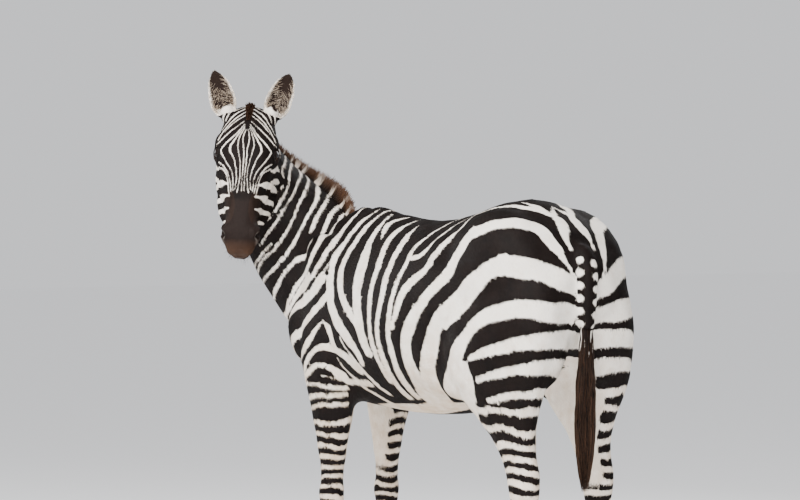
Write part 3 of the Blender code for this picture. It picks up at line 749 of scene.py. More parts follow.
def ringValues(points, value):
    # rings round the lower legs, each a little tilted and uneven
    body = points - bodyShift
    for leg, table in legRings.items():
        top = 0.665 if leg == "fore" else 0.735
        mine = (body[:, 0] < -0.28) if leg == "fore" else (body[:, 0] > 0.365)
        mine = mine & (body[:, 2] < top + 0.02) & (np.abs(body[:, 1]) > 0.05)
        place = body[mine]
        if not len(place):
            continue
        lift = 0.007 * sinesOf(place * (1, 1, 0.6), 0.13, 70) + 0.0018 * sinesOf(place, 0.035, 71)
        height = place[:, 2] + lift
        ring = np.full(len(place), -0.02)
        for middleHeight, width in table:
            ring = np.maximum(ring, width / 2000 - np.abs(height - middleHeight / 100))
        fade = np.clip((top + 0.02 - place[:, 2]) / 0.03, 0, 1)
        value[mine] = np.where(fade > 0.4, np.maximum(ring, value[mine] - fade * 0.02), value[mine])
    return value


def tailValues(points, value):
    # two columns of white spots down the dock, on black
    body = points - bodyShift
    dock = (body[:, 0] > 0.676) & (body[:, 2] < 1.175) & (np.abs(body[:, 1] + 0.012) < 0.036)
    place = body[dock]
    if len(place):
        around = np.degrees(np.arctan2(-(place[:, 1] + 0.012), place[:, 0] - 0.680))
        spots = np.full(len(place), -0.02)
        for row in range(6):
            for column in (-1, 1):
                across = (around - 20 - column * 42) / 25
                upward = (place[:, 2] - 1.160 + 0.038 * row - 0.006 * column) / 0.0115
                spots = np.maximum(spots, (1 - np.sqrt(across**2 + upward**2)) * 0.008)
        value[dock] = spots
    return value


# the left ear in the head's frame: its base, the way to its tip, and the way its mouth opens
earLine = {"base": np.array([0.004, 0.073, -0.030]), "way": np.array([-0.122, 0.049, 0.072])}
earMouth = np.array([0.51, 0, 0.86])


def earShare(points):
    # how far along an ear each point is, from 0 at base to 1 at tip, and how far off the ear's line
    way = earLine["way"]
    fromBase = toLeftHalf(toHead(points)) - earLine["base"]
    t = (fromBase @ way) / (way @ way)
    return t, np.linalg.norm(fromBase - np.clip(t, 0, 1)[:, None] * way, axis=1)


def brimOfEars():
    # the half width of the ears at each share of their length
    t, off = earShare(places(skin))
    mine = np.char.startswith(owner.astype(str), "ear")
    steps = np.linspace(0, 1, 11)
    return steps, np.array([off[mine & (np.abs(t - step) < 0.06)].max() for step in steps])


earBrim = brimOfEars()


def marksOf(points, out, isHead):
    # four values for each point: the stripe (white over 0.5, black also for painted shade in the nostrils),
    # the cream mix (a tint with painted light and painted shade in it), darkness and redness (also a painted
    # reflection round the lips)
    value = tailValues(points, ringValues(points, lineValues(points, isHead)))
    body, head = points - bodyShift, toHead(points)
    nearHead = isHead
    noise = sinesOf(points, 0.05, 90)
    # inner legs and the hollows behind the elbows are pale
    legs = (body[:, 2] > 0.30) & (body[:, 2] < 0.86) & ~nearHead
    inward = -np.sign(body[:, 1]) * out[:, 1]
    pale = np.clip((inward - 0.55) / 0.25 + 0.2 * noise, 0, 1) * legs
    pale = pale * np.clip((body[:, 2] - 0.42) / 0.15, 0, 1)
    value = np.maximum(value, (pale - 0.45) * 0.012)
    # pasterns are black, and so is the lower part of the dock
    value = np.where((body[:, 2] < 0.118 + 0.006 * noise) & ~nearHead, -0.02, value)
    # muzzle and the rims of the eyes are dark; the nostrils' openings are painted black below, as painted
    # shade in their hollows
    jaw = np.clip(-head[:, 2] - 0.006, 0, 0.2)
    edge = head[:, 0] - 0.326 - np.clip(2.4 * jaw, 0, 0.052) + 0.005 * noise
    dark = np.clip(edge / 0.026 + 0.15, 0, 1) * nearHead
    eye = np.array([headPose["eyeAlong"], 0.083, headPose["eyeHeight"]])
    folded = toLeftHalf(head)
    toEye = (folded - eye) * np.array([0.78, 1, 1.1])
    dark = np.maximum(dark, np.clip((0.0295 - np.linalg.norm(toEye, axis=1)) / 0.004, 0, 1))
    corner = folded - np.array([0.358, 0.044, -0.012])
    red = np.clip(1.1 - np.linalg.norm(corner / np.array([0.052, 0.021, 0.05]), axis=1), 0, 0.05)
    # the tan band round the lips is a painted reflection of warm light from the ground
    lip = np.linalg.norm((head - (0.474, 0, -0.082)) / (0.042, 0.052, 0.034), axis=1)
    red = np.maximum(red, 0.30 * np.clip((1.5 - lip) / 0.75, 0, 1)) * nearHead
    for side in (1, -1):
        ring, forward = nostrilRing(head, side)
        # the sunk opening of each nostril is painted black: painted shade in its hollow
        nostrilShade = np.clip((1.12 - ring) / 0.22, 0, 1) * nearHead
        dark = dark * (1 - nostrilShade)
        value = np.where(nostrilShade > 0.05, -0.02, value)
        edgeRing = np.exp(-(((ring - 1.42) / 0.26) ** 2)) * np.clip(0.5 + forward / 0.02, 0.15, 1) * nearHead
        value = np.where(edgeRing > 0.25, 0.02, value)
        dark = np.where(edgeRing > 0.25, 1.0 - 0.11 * edgeRing, dark)
    # ears: dark inside, banded behind
    t, off = earShare(points)
    onEar = (off < 0.052) & (t > 0.03) & (head[:, 0] < 0.03) & (np.abs(head[:, 1]) > 0.045)
    inside = onEar & (out @ headTurn @ earMouth > 0.25)
    bands = 0.012 * np.cos((t + 0.05 * noise - 0.02) * 11.5) + 0.004
    value = np.where(onEar, np.where(inside, 0.004, bands), value)
    brim = off - np.interp(t, earBrim[0], earBrim[1]) + 0.0062
    fluff = (0.17 - t) / 6 + 0.006 * noise
    value = np.where(inside, np.maximum(brim, fluff), np.where(onEar & (brim > 0.0042), 0.01, value))
    dark = np.where(inside, np.clip(0.5 - value / 0.006, 0, 0.6), dark)
    red = np.where(inside, 0.05, red)
    # cream mix: a random tint that is creamier lower down on the flank and legs; whiter on the rump, which is
    # painted light; creamier on faces that look down, the belly and the neck's underside, which is painted
    # shade
    creamAndShade = 0.18 + 0.50 * np.clip((1.02 - body[:, 2]) / 0.40, 0, 1) + 0.12 * noise
    creamAndShade = creamAndShade - 0.22 * np.clip((body[:, 0] - 0.25) / 0.2, 0, 1) + 0.30 * np.clip(-out[:, 2] - 0.3, 0, 1)
    creamAndShade = np.where(nearHead, 0.14 + 0.08 * noise, creamAndShade)
    stripe = np.clip(0.5 + value / 0.02, 0, 1)
    return np.column_stack([stripe, np.clip(creamAndShade, 0, 1), np.clip(dark, 0, 1), np.clip(red, 0, 1)])


def setMarks(obj, marks):
    layer = obj.data.attributes.new("mark", "FLOAT_COLOR", "POINT")
    layer.data.foreach_set("color", marks.astype(np.float32).ravel())


skinHead = np.isin(owner, faceNodes)
setMarks(skin, marksOf(places(skin), normals(skin), skinHead))
report(f"{len(whiteLines)} white lines laid")


# ---- materials of the coat
coatLook = {
    "white": (0.86, 0.805, 0.73, 1),
    # cream is the coat's tint, and also the painted shade on faces that look down
    "cream": (0.56, 0.425, 0.30, 1),
    "black": (0.0036, 0.0027, 0.0025, 1),
    "brown": (0.0135, 0.0078, 0.0060, 1),
    "muzzle": (0.0130, 0.0084, 0.0071, 1),
    # red is the brown of the mane's tips, the tail and the ears' insides, and the painted reflection round
    # the lips
    "red": (0.120, 0.060, 0.034, 1),
    "edgeRough": 0.10,
    "edgeSoft": 0.035,
    "skinRoughness": 0.62,
    "tuftRoughness": 0.56,
    "bump": 0.35,
}


def addSockets(group, way, sockets):
    for name, kind in sockets:
        group.interface.new_socket(name=name, in_out=way, socket_type="NodeSocket" + kind)


def node(tree, kind, **settings):
    made = tree.nodes.new(kind)
    for key, value in settings.items():
        setattr(made, key, value)
    return made


def newMaterial(name, roughness):
    material = bpy.data.materials.new(name)
    material.use_nodes = True
    shader = material.node_tree.nodes["Principled BSDF"]
    shader.inputs["Roughness"].default_value = roughness
    return material, material.node_tree, shader


def addBump(tree, shader, height, strength, distance):
    made = node(tree, "ShaderNodeBump")
    made.inputs["Strength"].default_value = strength
    made.inputs["Distance"].default_value = distance
    tree.links.new(height, made.inputs["Height"])
    tree.links.new(made.outputs[0], shader.inputs["Normal"])


def mathNode(tree, operation, a, b=None, c=None, clamp=False):
    made = node(tree, "ShaderNodeMath", operation=operation, use_clamp=clamp)
    for slot, value in enumerate((a, b, c)):
        if value is None:
            continue
        if isinstance(value, (int, float)):
            made.inputs[slot].default_value = value
        else:
            tree.links.new(value, made.inputs[slot])
    return made.outputs[0]


def mixColour(tree, factor, a, b, blend="MIX"):
    made = node(tree, "ShaderNodeMix", data_type="RGBA", blend_type=blend)
    for slot, value in ((0, factor), (6, a), (7, b)):
        if isinstance(value, (int, float, tuple)):
            made.inputs[slot].default_value = value
        else:
            tree.links.new(value, made.inputs[slot])
    return made.outputs[2]


def noiseNode(tree, vector, scale, detail=2.0, rough=0.5):
    made = node(tree, "ShaderNodeTexNoise")
    made.inputs["Scale"].default_value = scale
    made.inputs["Detail"].default_value = detail
    made.inputs["Roughness"].default_value = rough
    tree.links.new(vector, made.inputs["Vector"])
    return made.outputs["Fac"]


def makeStripedGroup():
    # turns the four values of a mark into the coat's colour
    look = coatLook
    tree = bpy.data.node_groups.new("stripedCoat", "ShaderNodeTree")
    comes = (("Mark", "Color"), ("CreamShade", "Float"), ("Place", "Vector"), ("Redness", "Float"))
    addSockets(tree, "INPUT", comes)
    addSockets(tree, "OUTPUT", (("Colour", "Color"), ("Height", "Float"), ("White", "Float")))
    come, go = node(tree, "NodeGroupInput"), node(tree, "NodeGroupOutput")
    parts = node(tree, "ShaderNodeSeparateColor")
    tree.links.new(come.outputs["Mark"], parts.inputs[0])
    stripe, creamAndShade, dark = parts.outputs[0], parts.outputs[1], parts.outputs[2]
    red = come.outputs["Redness"]
    hairs = noiseNode(tree, come.outputs["Place"], 420, 2.0, 0.6)
    patches = noiseNode(tree, come.outputs["Place"], 26, 3.0, 0.55)
    ragged = mathNode(tree, "MULTIPLY_ADD", mathNode(tree, "SUBTRACT", hairs, 0.5), look["edgeRough"], stripe)
    low, soft = 0.5 - look["edgeSoft"], 2 * look["edgeSoft"]
    white = mathNode(tree, "DIVIDE", mathNode(tree, "SUBTRACT", ragged, low), soft, clamp=True)
    # the cream mix carries a tint, painted light on the rump and painted shade on faces that look down
    creamShadeMix = mathNode(tree, "ADD", creamAndShade, mathNode(tree, "MULTIPLY_ADD", patches, 0.5, -0.25))
    creamShadeMix = mathNode(tree, "ADD", creamShadeMix, come.outputs["CreamShade"], clamp=True)
    pale = mixColour(tree, creamShadeMix, look["white"], look["cream"])
    brown = mathNode(tree, "MULTIPLY_ADD", patches, 0.8, -0.15, clamp=True)
    deep = mixColour(tree, brown, look["black"], look["brown"])
    colour = mixColour(tree, white, deep, pale)
    colour = mixColour(tree, dark, colour, look["muzzle"])
    colour = mixColour(tree, red, colour, look["red"])
    shade = mathNode(tree, "MULTIPLY_ADD", hairs, 0.5, 0.75)
    grey = node(tree, "ShaderNodeCombineColor")
    for slot in range(3):
        tree.links.new(shade, grey.inputs[slot])
    colour = mixColour(tree, 1.0, colour, grey.outputs[0], "MULTIPLY")
    for name, value in (("Colour", colour), ("Height", hairs), ("White", white)):
        tree.links.new(value, go.inputs[name])
    return tree


stripedCoat = makeStripedGroup()


def coatMaterial(name, roughness, bump, creamShadeMix=0.0):
    material, tree, shader = newMaterial(name, roughness)
    mark = node(tree, "ShaderNodeAttribute", attribute_name="mark")
    place = node(tree, "ShaderNodeTexCoord").outputs["Object"]
    coat = node(tree, "ShaderNodeGroup", node_tree=stripedCoat)
    coat.inputs["CreamShade"].default_value = creamShadeMix
    tree.links.new(mark.outputs["Color"], coat.inputs["Mark"])
    tree.links.new(mark.outputs["Alpha"], coat.inputs["Redness"])
    tree.links.new(place, coat.inputs["Place"])
    tree.links.new(coat.outputs["Colour"], shader.inputs["Base Color"])
    shader.inputs["Specular IOR Level"].default_value = 0.07
    if bump:
        addBump(tree, shader, coat.outputs["Height"], bump, 0.0012)
    return material


skinMaterial = coatMaterial("coatSkin", coatLook["skinRoughness"], coatLook["bump"])
tuftMaterial = coatMaterial("coatTufts", coatLook["tuftRoughness"], 0)
skin.data.materials.clear()
skin.data.materials.append(skinMaterial)
skin.data.shade_smooth()


# ---- coat: flat tufts that overlap and lie along the body
coatSettings = {
    "trunk": {"length": 0.0130, "width": 0.0034, "each": 0.0000138},
    "legs": {"length": 0.0090, "width": 0.0024, "each": 0.0000095},
    "head": {"length": 0.0060, "width": 0.0014, "each": 0.0000050},
    "height": 0.00065,
    "sunk": 0.0006,
    "most": 48500,
    "seed": 7,
}


def lieField(co, out):
    # the way the hair lies at each point of the skin, along the surface
    body, head = co - bodyShift, toHead(co)
    lie = np.tile([1.0, 0.0, -0.28], (len(co), 1))
    back = np.clip((body[:, 0] - 0.35) / 0.35, 0, 1)[:, None]
    lie = lie * (1 - back) + np.array([0.25, 0, -1.0]) * back
    down = np.clip((0.88 - body[:, 2]) / 0.20, 0, 1)[:, None]
    lie = lie * (1 - down) + np.array([0.12, 0, -1.0]) * down
    names = owner.astype(str)
    onNeck = names == "neck"
    shares = np.linspace(-0.1, 1.0, 12)
    sections = [neckSection(t) for t in shares]
    centres, ways = np.array([c[0] for c in sections]), np.array([c[3] for c in sections])
    nearest = np.argmin(np.linalg.norm(co[onNeck, None, :] - centres[None], axis=2), axis=1)
    lie[onNeck] = -ways[nearest] + np.array([0.1, 0, -0.35])
    front = np.clip((head[:, 2] + 0.075) / 0.03, 0, 1)[:, None]
    flat = np.tile([0.45, 0.0, -1.0], (len(co), 1))
    faceLie = np.array([1.0, 0, 0]) * front + flat * (1 - front)
    faceLie[head[:, 0] < 0.02] = (-0.7, 0, -0.3)
    isFace = names == "head"
    lie[isFace] = (faceLie @ headTurn.T)[isFace]
    for side, sign in (("left", 1), ("right", -1)):
        mine = names == "ear_" + side
        lie[mine] = headTurn @ (earLine["way"] * (1, sign, 1))
    lie[names == "tail_dock"] = (0, 0, -1.0)
    lie = smoothed(unit(lie), edgeEnds(skin), len(co), 8, weight=0.8)
    return unit(lie - out * (lie * out).sum(axis=1)[:, None])


def skinTriangles():
    skin.data.calc_loop_triangles()
    tri = np.empty(len(skin.data.loop_triangles) * 3, np.int32)
    skin.data.loop_triangles.foreach_get("vertices", tri)
    loops = np.empty(len(skin.data.loop_triangles) * 3, np.int32)
    skin.data.loop_triangles.foreach_get("loops", loops)
    return tri.reshape(-1, 3), loops.reshape(-1, 3)


def unwrapSkin():
    # an unwrap of the skin's own shape, whose places the tufts' patches take
    useObject(skin)
    skin.data.uv_layers.new(name="OFBake")
    bpy.ops.object.mode_set(mode="EDIT")
    bpy.ops.mesh.select_all(action="SELECT")
    bpy.ops.uv.smart_project(angle_limit=math.radians(72), island_margin=0.003)
    bpy.ops.object.mode_set(mode="OBJECT")
    uv = np.empty(len(skin.data.loops) * 2, np.float32)
    skin.data.uv_layers["OFBake"].data.foreach_get("uv", uv)
    return uv.reshape(-1, 2)


def scatterRoots(chosen, each, seed):
    # random places over the chosen triangles, one for each bit of area
    turn = np.random.default_rng(seed)
    co = skinPlaces[skinTri[chosen]]
    area = np.linalg.norm(np.cross(co[:, 1] - co[:, 0], co[:, 2] - co[:, 0]), axis=1) / 2
    count = int(area.sum() / each)
    pick = np.searchsorted(np.cumsum(area), (np.arange(count) + turn.random(count)) / count * area.sum())
    pick = np.minimum(pick, len(chosen) - 1)
    a, b = turn.random(count), turn.random(count)
    a, b = np.where(a + b > 1, 1 - a, a), np.where(a + b > 1, 1 - b, b)
    share = np.column_stack([1 - a - b, a, b])
    triangle = chosen[pick]
    return triangle, share


def blendAt(values, triangle, share):
    return (values[skinTri[triangle]] * share[:, :, None]).sum(axis=1)


def rawMesh(name, points, faces):
    mesh = bpy.data.meshes.new(name)
    mesh.vertices.add(len(points))
    mesh.vertices.foreach_set("co", points.astype(np.float32).ravel())
    size = faces.shape[1]
    mesh.loops.add(faces.size)
    mesh.loops.foreach_set("vertex_index", faces.astype(np.int32).ravel())
    mesh.polygons.add(len(faces))
    mesh.polygons.foreach_set("loop_start", np.arange(0, faces.size, size, dtype=np.int32))
    mesh.update(calc_edges=True)
    mesh.validate()
    obj = bpy.data.objects.new(name, mesh)
    bpy.context.scene.collection.objects.link(obj)
    return obj


def tuftMesh(name, root, along, out, length, width, lift, marks, patch):
    # one closed sliver of four faces for each root
    settings = coatSettings
    side = np.cross(along, out)
    half, sunk = side * width[:, None] / 2, out * settings["sunk"]
    a = root - sunk + half - along * 0.1 * length[:, None]
    b = root - sunk - half - along * 0.1 * length[:, None]
    c = root + along * 0.30 * length[:, None] + out * settings["height"]
    d = root + along * length[:, None] + out * lift[:, None]
    points = np.stack([a, b, c, d], axis=1).reshape(-1, 3)
    base = np.arange(len(root))[:, None, None] * 4
    faces = (base + np.array([[0, 2, 1], [1, 2, 3], [3, 2, 0], [0, 1, 3]])).reshape(-1, 3)
    obj = rawMesh(name, points, faces)
    setMarks(obj, np.repeat(marks, 4, axis=0))
    corner = np.array([[-0.0015, -0.0015], [0.0015, -0.0015], [0.0, 0.0004], [0.0, 0.0015]])
    spots = np.clip(patch[:, None, :] + corner, 0.0, 1.0).reshape(-1, 2)
    uv = obj.data.uv_layers.new(name="OFBake")
    uv.data.foreach_set("uv", spots[faces.ravel()].astype(np.float32).ravel())
    return obj


def softNormals(obj, directions):
    # shades a piece with the given direction at each of its points
    obj.data.shade_smooth()
    obj.data.normals_split_custom_set_from_vertices(directions.astype(float).tolist())


skinPlaces, skinNormals = places(skin), normals(skin)
skinTri, skinLoops = skinTriangles()
skinUv = unwrapSkin()
skinLie = lieField(skinPlaces, skinNormals)
report("skin unwrapped")


def growCoat(region, chosen, seed):
    size = coatSettings[region]
    turn = np.random.default_rng(seed)
    triangle, share = scatterRoots(chosen, size["each"], seed)
    root = blendAt(skinPlaces, triangle, share)
    out = unit(blendAt(skinNormals, triangle, share))
    along = blendAt(skinLie, triangle, share)
    bare = toHead(root)
    eyeGap = np.linalg.norm(toLeftHalf(bare) - (headPose["eyeAlong"], 0.086, headPose["eyeHeight"]), axis=1)
    keep = (eyeGap > 0.024) & (root[:, 2] > 0.066)
    root, out, along, triangle, share = root[keep], out[keep], along[keep], triangle[keep], share[keep]
    count = len(root)
    swing = turn.normal(0, 0.16, count) + 0.22 * sinesOf(root, 0.09, seed + 3)
    across = np.cross(out, along)
    along = unit(along * np.cos(swing)[:, None] + across * np.sin(swing)[:, None])
    along = unit(along - out * (along * out).sum(axis=1)[:, None])
    low = np.clip(root[:, 2] / 0.35, 0.55, 1) if region == "legs" else 1.0
    nose = np.clip(1.15 - (bare[keep, 0] - 0.25) / 0.30, 0.55, 1) if region == "head" else 1.0
    length = size["length"] * turn.uniform(0.75, 1.2, count) * low * nose
    width = size["width"] * turn.uniform(0.8, 1.25, count) * low * nose
    lift = length * turn.uniform(0.02, 0.075, count)
    isHead = skinHead[skinTri[triangle][:, 0]]
    marks = marksOf(root + along * length[:, None] * 0.35, out, isHead)
    marks[:, 0] = np.clip(marks[:, 0] + turn.normal(0, 0.035, count), 0, 1)
    marks[:, 1] = np.clip(marks[:, 1] + turn.normal(0, 0.10, count), 0, 1)
    patch = (skinUv[skinLoops[triangle]] * share[:, :, None]).sum(axis=1)
    shade = unit(out + turn.normal(0, 0.07, (count, 3)) + along * 0.10)
    order = np.argsort(root[:, 0])
    pieces = []
    parts = int(np.ceil(count / coatSettings["most"]))
    tufts = (root, along, out, length, width, lift, marks, patch)
    for number, some in enumerate(np.array_split(order, parts)):
        piece = tuftMesh(f"coat_{region}_{number + 1}", *(values[some] for values in tufts))
        softNormals(piece, np.repeat(shade[some], 4, axis=0))
        piece.data.materials.append(tuftMaterial)
        pieces.append(piece)
    report(f"{count} tufts of the {region}")
    return pieces


def growCoats():
    centre = skinPlaces[skinTri].mean(axis=1)
    onHead = skinHead[skinTri[:, 0]]
    onLeg = ((centre[:, 2] < 0.62) | (owner[skinTri[:, 0]] == "tail_dock")) & ~onHead
    regions = {"trunk": ~onHead & ~onLeg, "legs": onLeg, "head": onHead}
    pieces = []
    for number, (region, mask) in enumerate(regions.items()):
        pieces += growCoat(region, np.flatnonzero(mask), coatSettings["seed"] + number * 11)
    return pieces


coatPieces = growCoats()


# ---- long hair: closed three-sided locks along curved paths
def lockMesh(name, paths, widths, across, marks, material, patches):
    # paths are locks x rings x 3; widths are locks x rings; the last ring is the tip
    count, rings = paths.shape[:2]
    along = unit(np.gradient(paths, axis=1))
    side = unit(np.cross(along, across[:, None, :]))
    other = np.cross(along, side)
    body = []
    for k in range(3):
        turn = 2 * math.pi * k / 3
        body.append(paths + (side * math.cos(turn) + other * math.sin(turn)) * widths[:, :, None] / 2)
    ringPoints = np.stack(body, axis=2)[:, : rings - 1]
    tips = paths[:, -1][:, None, :]
    each = (rings - 1) * 3 + 1
    points = np.concatenate([ringPoints.reshape(count, -1, 3), tips], axis=1).reshape(-1, 3)
    pattern = [(0, 2, 1)]
    for i in range(rings - 2):
        for k in range(3):
            a, b = i * 3 + k, i * 3 + (k + 1) % 3
            pattern += [(a, b, b + 3), (a, b + 3, a + 3)]
    last = (rings - 2) * 3
    pattern += [(last + k, last + (k + 1) % 3, each - 1) for k in range(3)]
    faces = (np.arange(count)[:, None, None] * each + np.array(pattern)).reshape(-1, 3)
    obj = rawMesh(name, points, faces)
    ringMarks = np.concatenate([np.repeat(marks[:, : rings - 1], 3, axis=1), marks[:, -1:]], axis=1)
    setMarks(obj, ringMarks.reshape(-1, 4))
    high = np.append(np.repeat(np.linspace(-0.0015, 0.0011, rings - 1), 3), 0.0015)
    wide = np.append(np.tile([-0.0012, 0.0, 0.0012], rings - 1), 0.0)
    spots = patches[:, None, :] + np.column_stack([wide, high])
    uv = obj.data.uv_layers.new(name="OFBake")
    uv.data.foreach_set("uv", np.clip(spots.reshape(-1, 2)[faces.ravel()], 0, 1).astype(np.float32).ravel())
    obj.data.shade_smooth()
    obj.data.materials.append(material)
    turnOut(obj)
    return obj


def skinPatch(points):
    # the unwrap's place at the skin's nearest corner to each point
    found = [skinTree.find_nearest(Vector(p))[2] for p in points]
    loops = [skin.data.polygons[i].loop_start for i in found]
    return skinUv[loops]


def bentPaths(root, grow, length, bend, rings):
    # a path of the given rings from each root, straight at first and then bent
    steps = np.linspace(0, 1, rings)[None, :, None]
    return root[:, None] + grow[:, None] * length[:, None, None] * steps + bend[:, None] * steps**2


hairMaterial = coatMaterial("maneHair", 0.50, 0)
tailMaterial = coatMaterial("tailHair", 0.46, 0)
maneSettings = {
    "share": (0.20, 0.27, 0.36, 0.48, 0.62, 0.80, 0.90),
    "height": (0.004, 0.018, 0.040, 0.056, 0.058, 0.052, 0.044),
    "half": (0.006, 0.009, 0.012, 0.015, 0.015, 0.013, 0.011),
    "locks": 4300,
    "width": 0.0034,
    "forelocks": 520,
}


def growMane():
    s = maneSettings
    turn = np.random.default_rng(21)
    count = s["locks"]
    share = np.sort(turn.uniform(s["share"][0], s["share"][-1], count))
    u = turn.uniform(-1, 1, count)
    height = np.interp(share, s["share"], s["height"]) * turn.uniform(0.80, 1.06, count) * (1 - 0.28 * u * u)
    half = np.interp(share, s["share"], s["half"])
    root, grow, side, base = (np.zeros((count, 3)) for _ in range(4))
    for i in range(count):
        centre, across, up, along = neckSection(share[i])
        root[i] = castFrom(skinTree, centre + across * u[i] * half[i], centre + across * u[i] * half[i] + up)
        base[i] = castFrom(skinTree, centre, centre + across * math.copysign(0.17, u[i]) + up)
        grow[i] = up + across * u[i] * 0.16 + along * 0.16
        side[i] = along
    bunch = sinesOf(root, 0.018, 33)[:, None] * side * 0.16
    grow = unit(grow + bunch + turn.normal(0, 0.07, (count, 3)))
    root = root - grow * 0.004
    lean = side * turn.normal(0.10, 0.12, count)[:, None] + turn.normal(0, 0.05, (count, 3))
    paths = bentPaths(root, grow, height + 0.004, lean * height[:, None], 5)
    widths = s["width"] * turn.uniform(0.7, 1.25, count)[:, None] * np.array([1.0, 1.0, 0.85, 0.55, 0.0])
    stripe = marksOf(base, np.tile([0, 0, 1.0], (count, 1)), np.zeros(count, bool))[:, 0]
    stripe = np.clip(stripe + turn.normal(0, 0.05, count), 0, 1)
    marks = np.zeros((count, 5, 4))
    marks[:, :, 0] = stripe[:, None]
    marks[:, :, 1] = 0.35
    brown = turn.uniform(0.75, 1.1, count)[:, None] * np.array([0.0, 0.06, 0.30, 0.72, 0.90])
    marks[:, :, 3] = np.clip(brown, 0, 1)
    return lockMesh("mane", paths, widths, side, marks, hairMaterial, skinPatch(root))


def growForelock():
    s = maneSettings
    turn = np.random.default_rng(22)
    count = s["forelocks"]
    along = turn.uniform(-0.040, 0.046, count)
    u = turn.uniform(-1, 1, count)
    half = np.interp(along, (-0.04, 0.01, 0.046), (0.013, 0.011, 0.005))
    root, out = np.zeros((count, 3)), np.zeros((count, 3))
    for i in range(count):
        spot = np.array([along[i], u[i] * half[i], 0.0])
        root[i] = castFrom(skinTree, fromHead(spot + (0, 0, 0.2)), fromHead(spot - (0, 0, 0.05)))
        out[i] = headTurn @ unit([6 * along[i] - 0.55, 0.20 * u[i], 0.70])
    grow = unit(out + turn.normal(0, 0.10, (count, 3)))
    length = np.interp(along, (-0.04, 0.01, 0.046), (0.036, 0.028, 0.013)) * turn.uniform(0.60, 1.15, count)
    length = length * (1.08 - 0.55 * u * u)
    fall = np.tile(headTurn @ np.array([0.55, 0, -0.12]), (count, 1)) * length[:, None]
    paths = bentPaths(root - grow * 0.003, grow, length, fall, 5)
    widths = 0.0026 * turn.uniform(0.7, 1.2, count)[:, None] * np.array([1.0, 1.0, 0.8, 0.5, 0.0])
    marks = np.zeros((count, 5, 4))
    marks[:, :, 3] = turn.uniform(0.4, 1.0, count)[:, None] * np.array([0, 0.1, 0.35, 0.6, 0.8])
    across = np.tile(headTurn @ np.array([0, 1.0, 0]), (count, 1))
    return lockMesh("forelock", paths, widths, across, marks, hairMaterial, skinPatch(root))


tailSettings = {
    "locks": 1250,
    "width": 0.0032,
    "height": (1.02, 0.96, 0.88, 0.78, 0.66, 0.56, 0.47),
    "reach": (0.016, 0.018, 0.024, 0.031, 0.034, 0.026, 0.008),
    "centre": (0.698, -0.014),
    "flat": 0.80,
}


def growTail():
    s = tailSettings
    turn = np.random.default_rng(23)
    count = s["locks"]
    start = turn.uniform(0.955, 1.045, count)
    around = turn.uniform(0, 2 * math.pi, count)
    depth = np.sqrt(turn.uniform(0.12, 1, count))
    end = 0.475 + 0.24 * turn.random(count) ** 1.7
    steps = np.linspace(0, 1, 11)
    level = start[:, None] + (end - start)[:, None] * steps
    reach = np.interp(level, s["height"][::-1], s["reach"][::-1])
    grown = np.clip(steps * 3.5, 0, 1)[None]
    radius = 0.0175 * (1 - grown) + reach * depth[:, None] * grown
    twist = around[:, None] + turn.normal(0, 0.35, count)[:, None] * steps + 0.10 * np.sin(steps * 9)[None]
    twist = twist + turn.normal(0, 0.05, (count, 1)) * np.sin(steps * 14)[None]
    x = s["centre"][0] + np.cos(twist) * radius * s["flat"] - 0.010 * steps
    y = s["centre"][1] + np.sin(twist) * radius
    x = x + 0.0022 * np.sin(level * 60 + around[:, None] * 3)
    y = y + 0.0022 * np.sin(level * 52 + around[:, None] * 5)
    paths = np.stack([x, y, level], axis=2) + bodyShift
    taper = np.array([1, 1, 1, 1, 1, 0.95, 0.9, 0.8, 0.65, 0.4, 0])
    widths = s["width"] * turn.uniform(0.65, 1.2, count)[:, None] * taper
    across = np.column_stack([np.cos(around), np.sin(around), np.zeros(count)])
    marks = np.zeros((count, 11, 4))
    marks[:, :, 3] = np.clip(turn.uniform(0.0, 0.5, count)[:, None] * np.linspace(0.2, 1.0, 11), 0, 1)
    pale = turn.random(count) < 0.05
    marks[pale, :4, 0] = 0.9
    return lockMesh("tail_hair", paths, widths, across, marks, tailMaterial, skinPatch(paths[:, 0]))


earSettings = {"inner": 330, "rim": 1000, "lashes": 46, "whiskers": 90, "coronet": 320}


def shortHairs(name, root, grow, bend, length, width, marks, material):
    # thin curved hairs of four rings each
    paths = bentPaths(root - grow * 0.001, grow, length, bend * length[:, None], 4)
    widths = width[:, None] * np.array([1.0, 0.9, 0.6, 0.0])
    across = unit(np.cross(grow, np.array([0.3, 0.2, 0.93])))
    ringMarks = np.repeat(marks[:, None], 4, axis=1)
    return lockMesh(name, paths, widths, across, ringMarks, material, skinPatch(root))


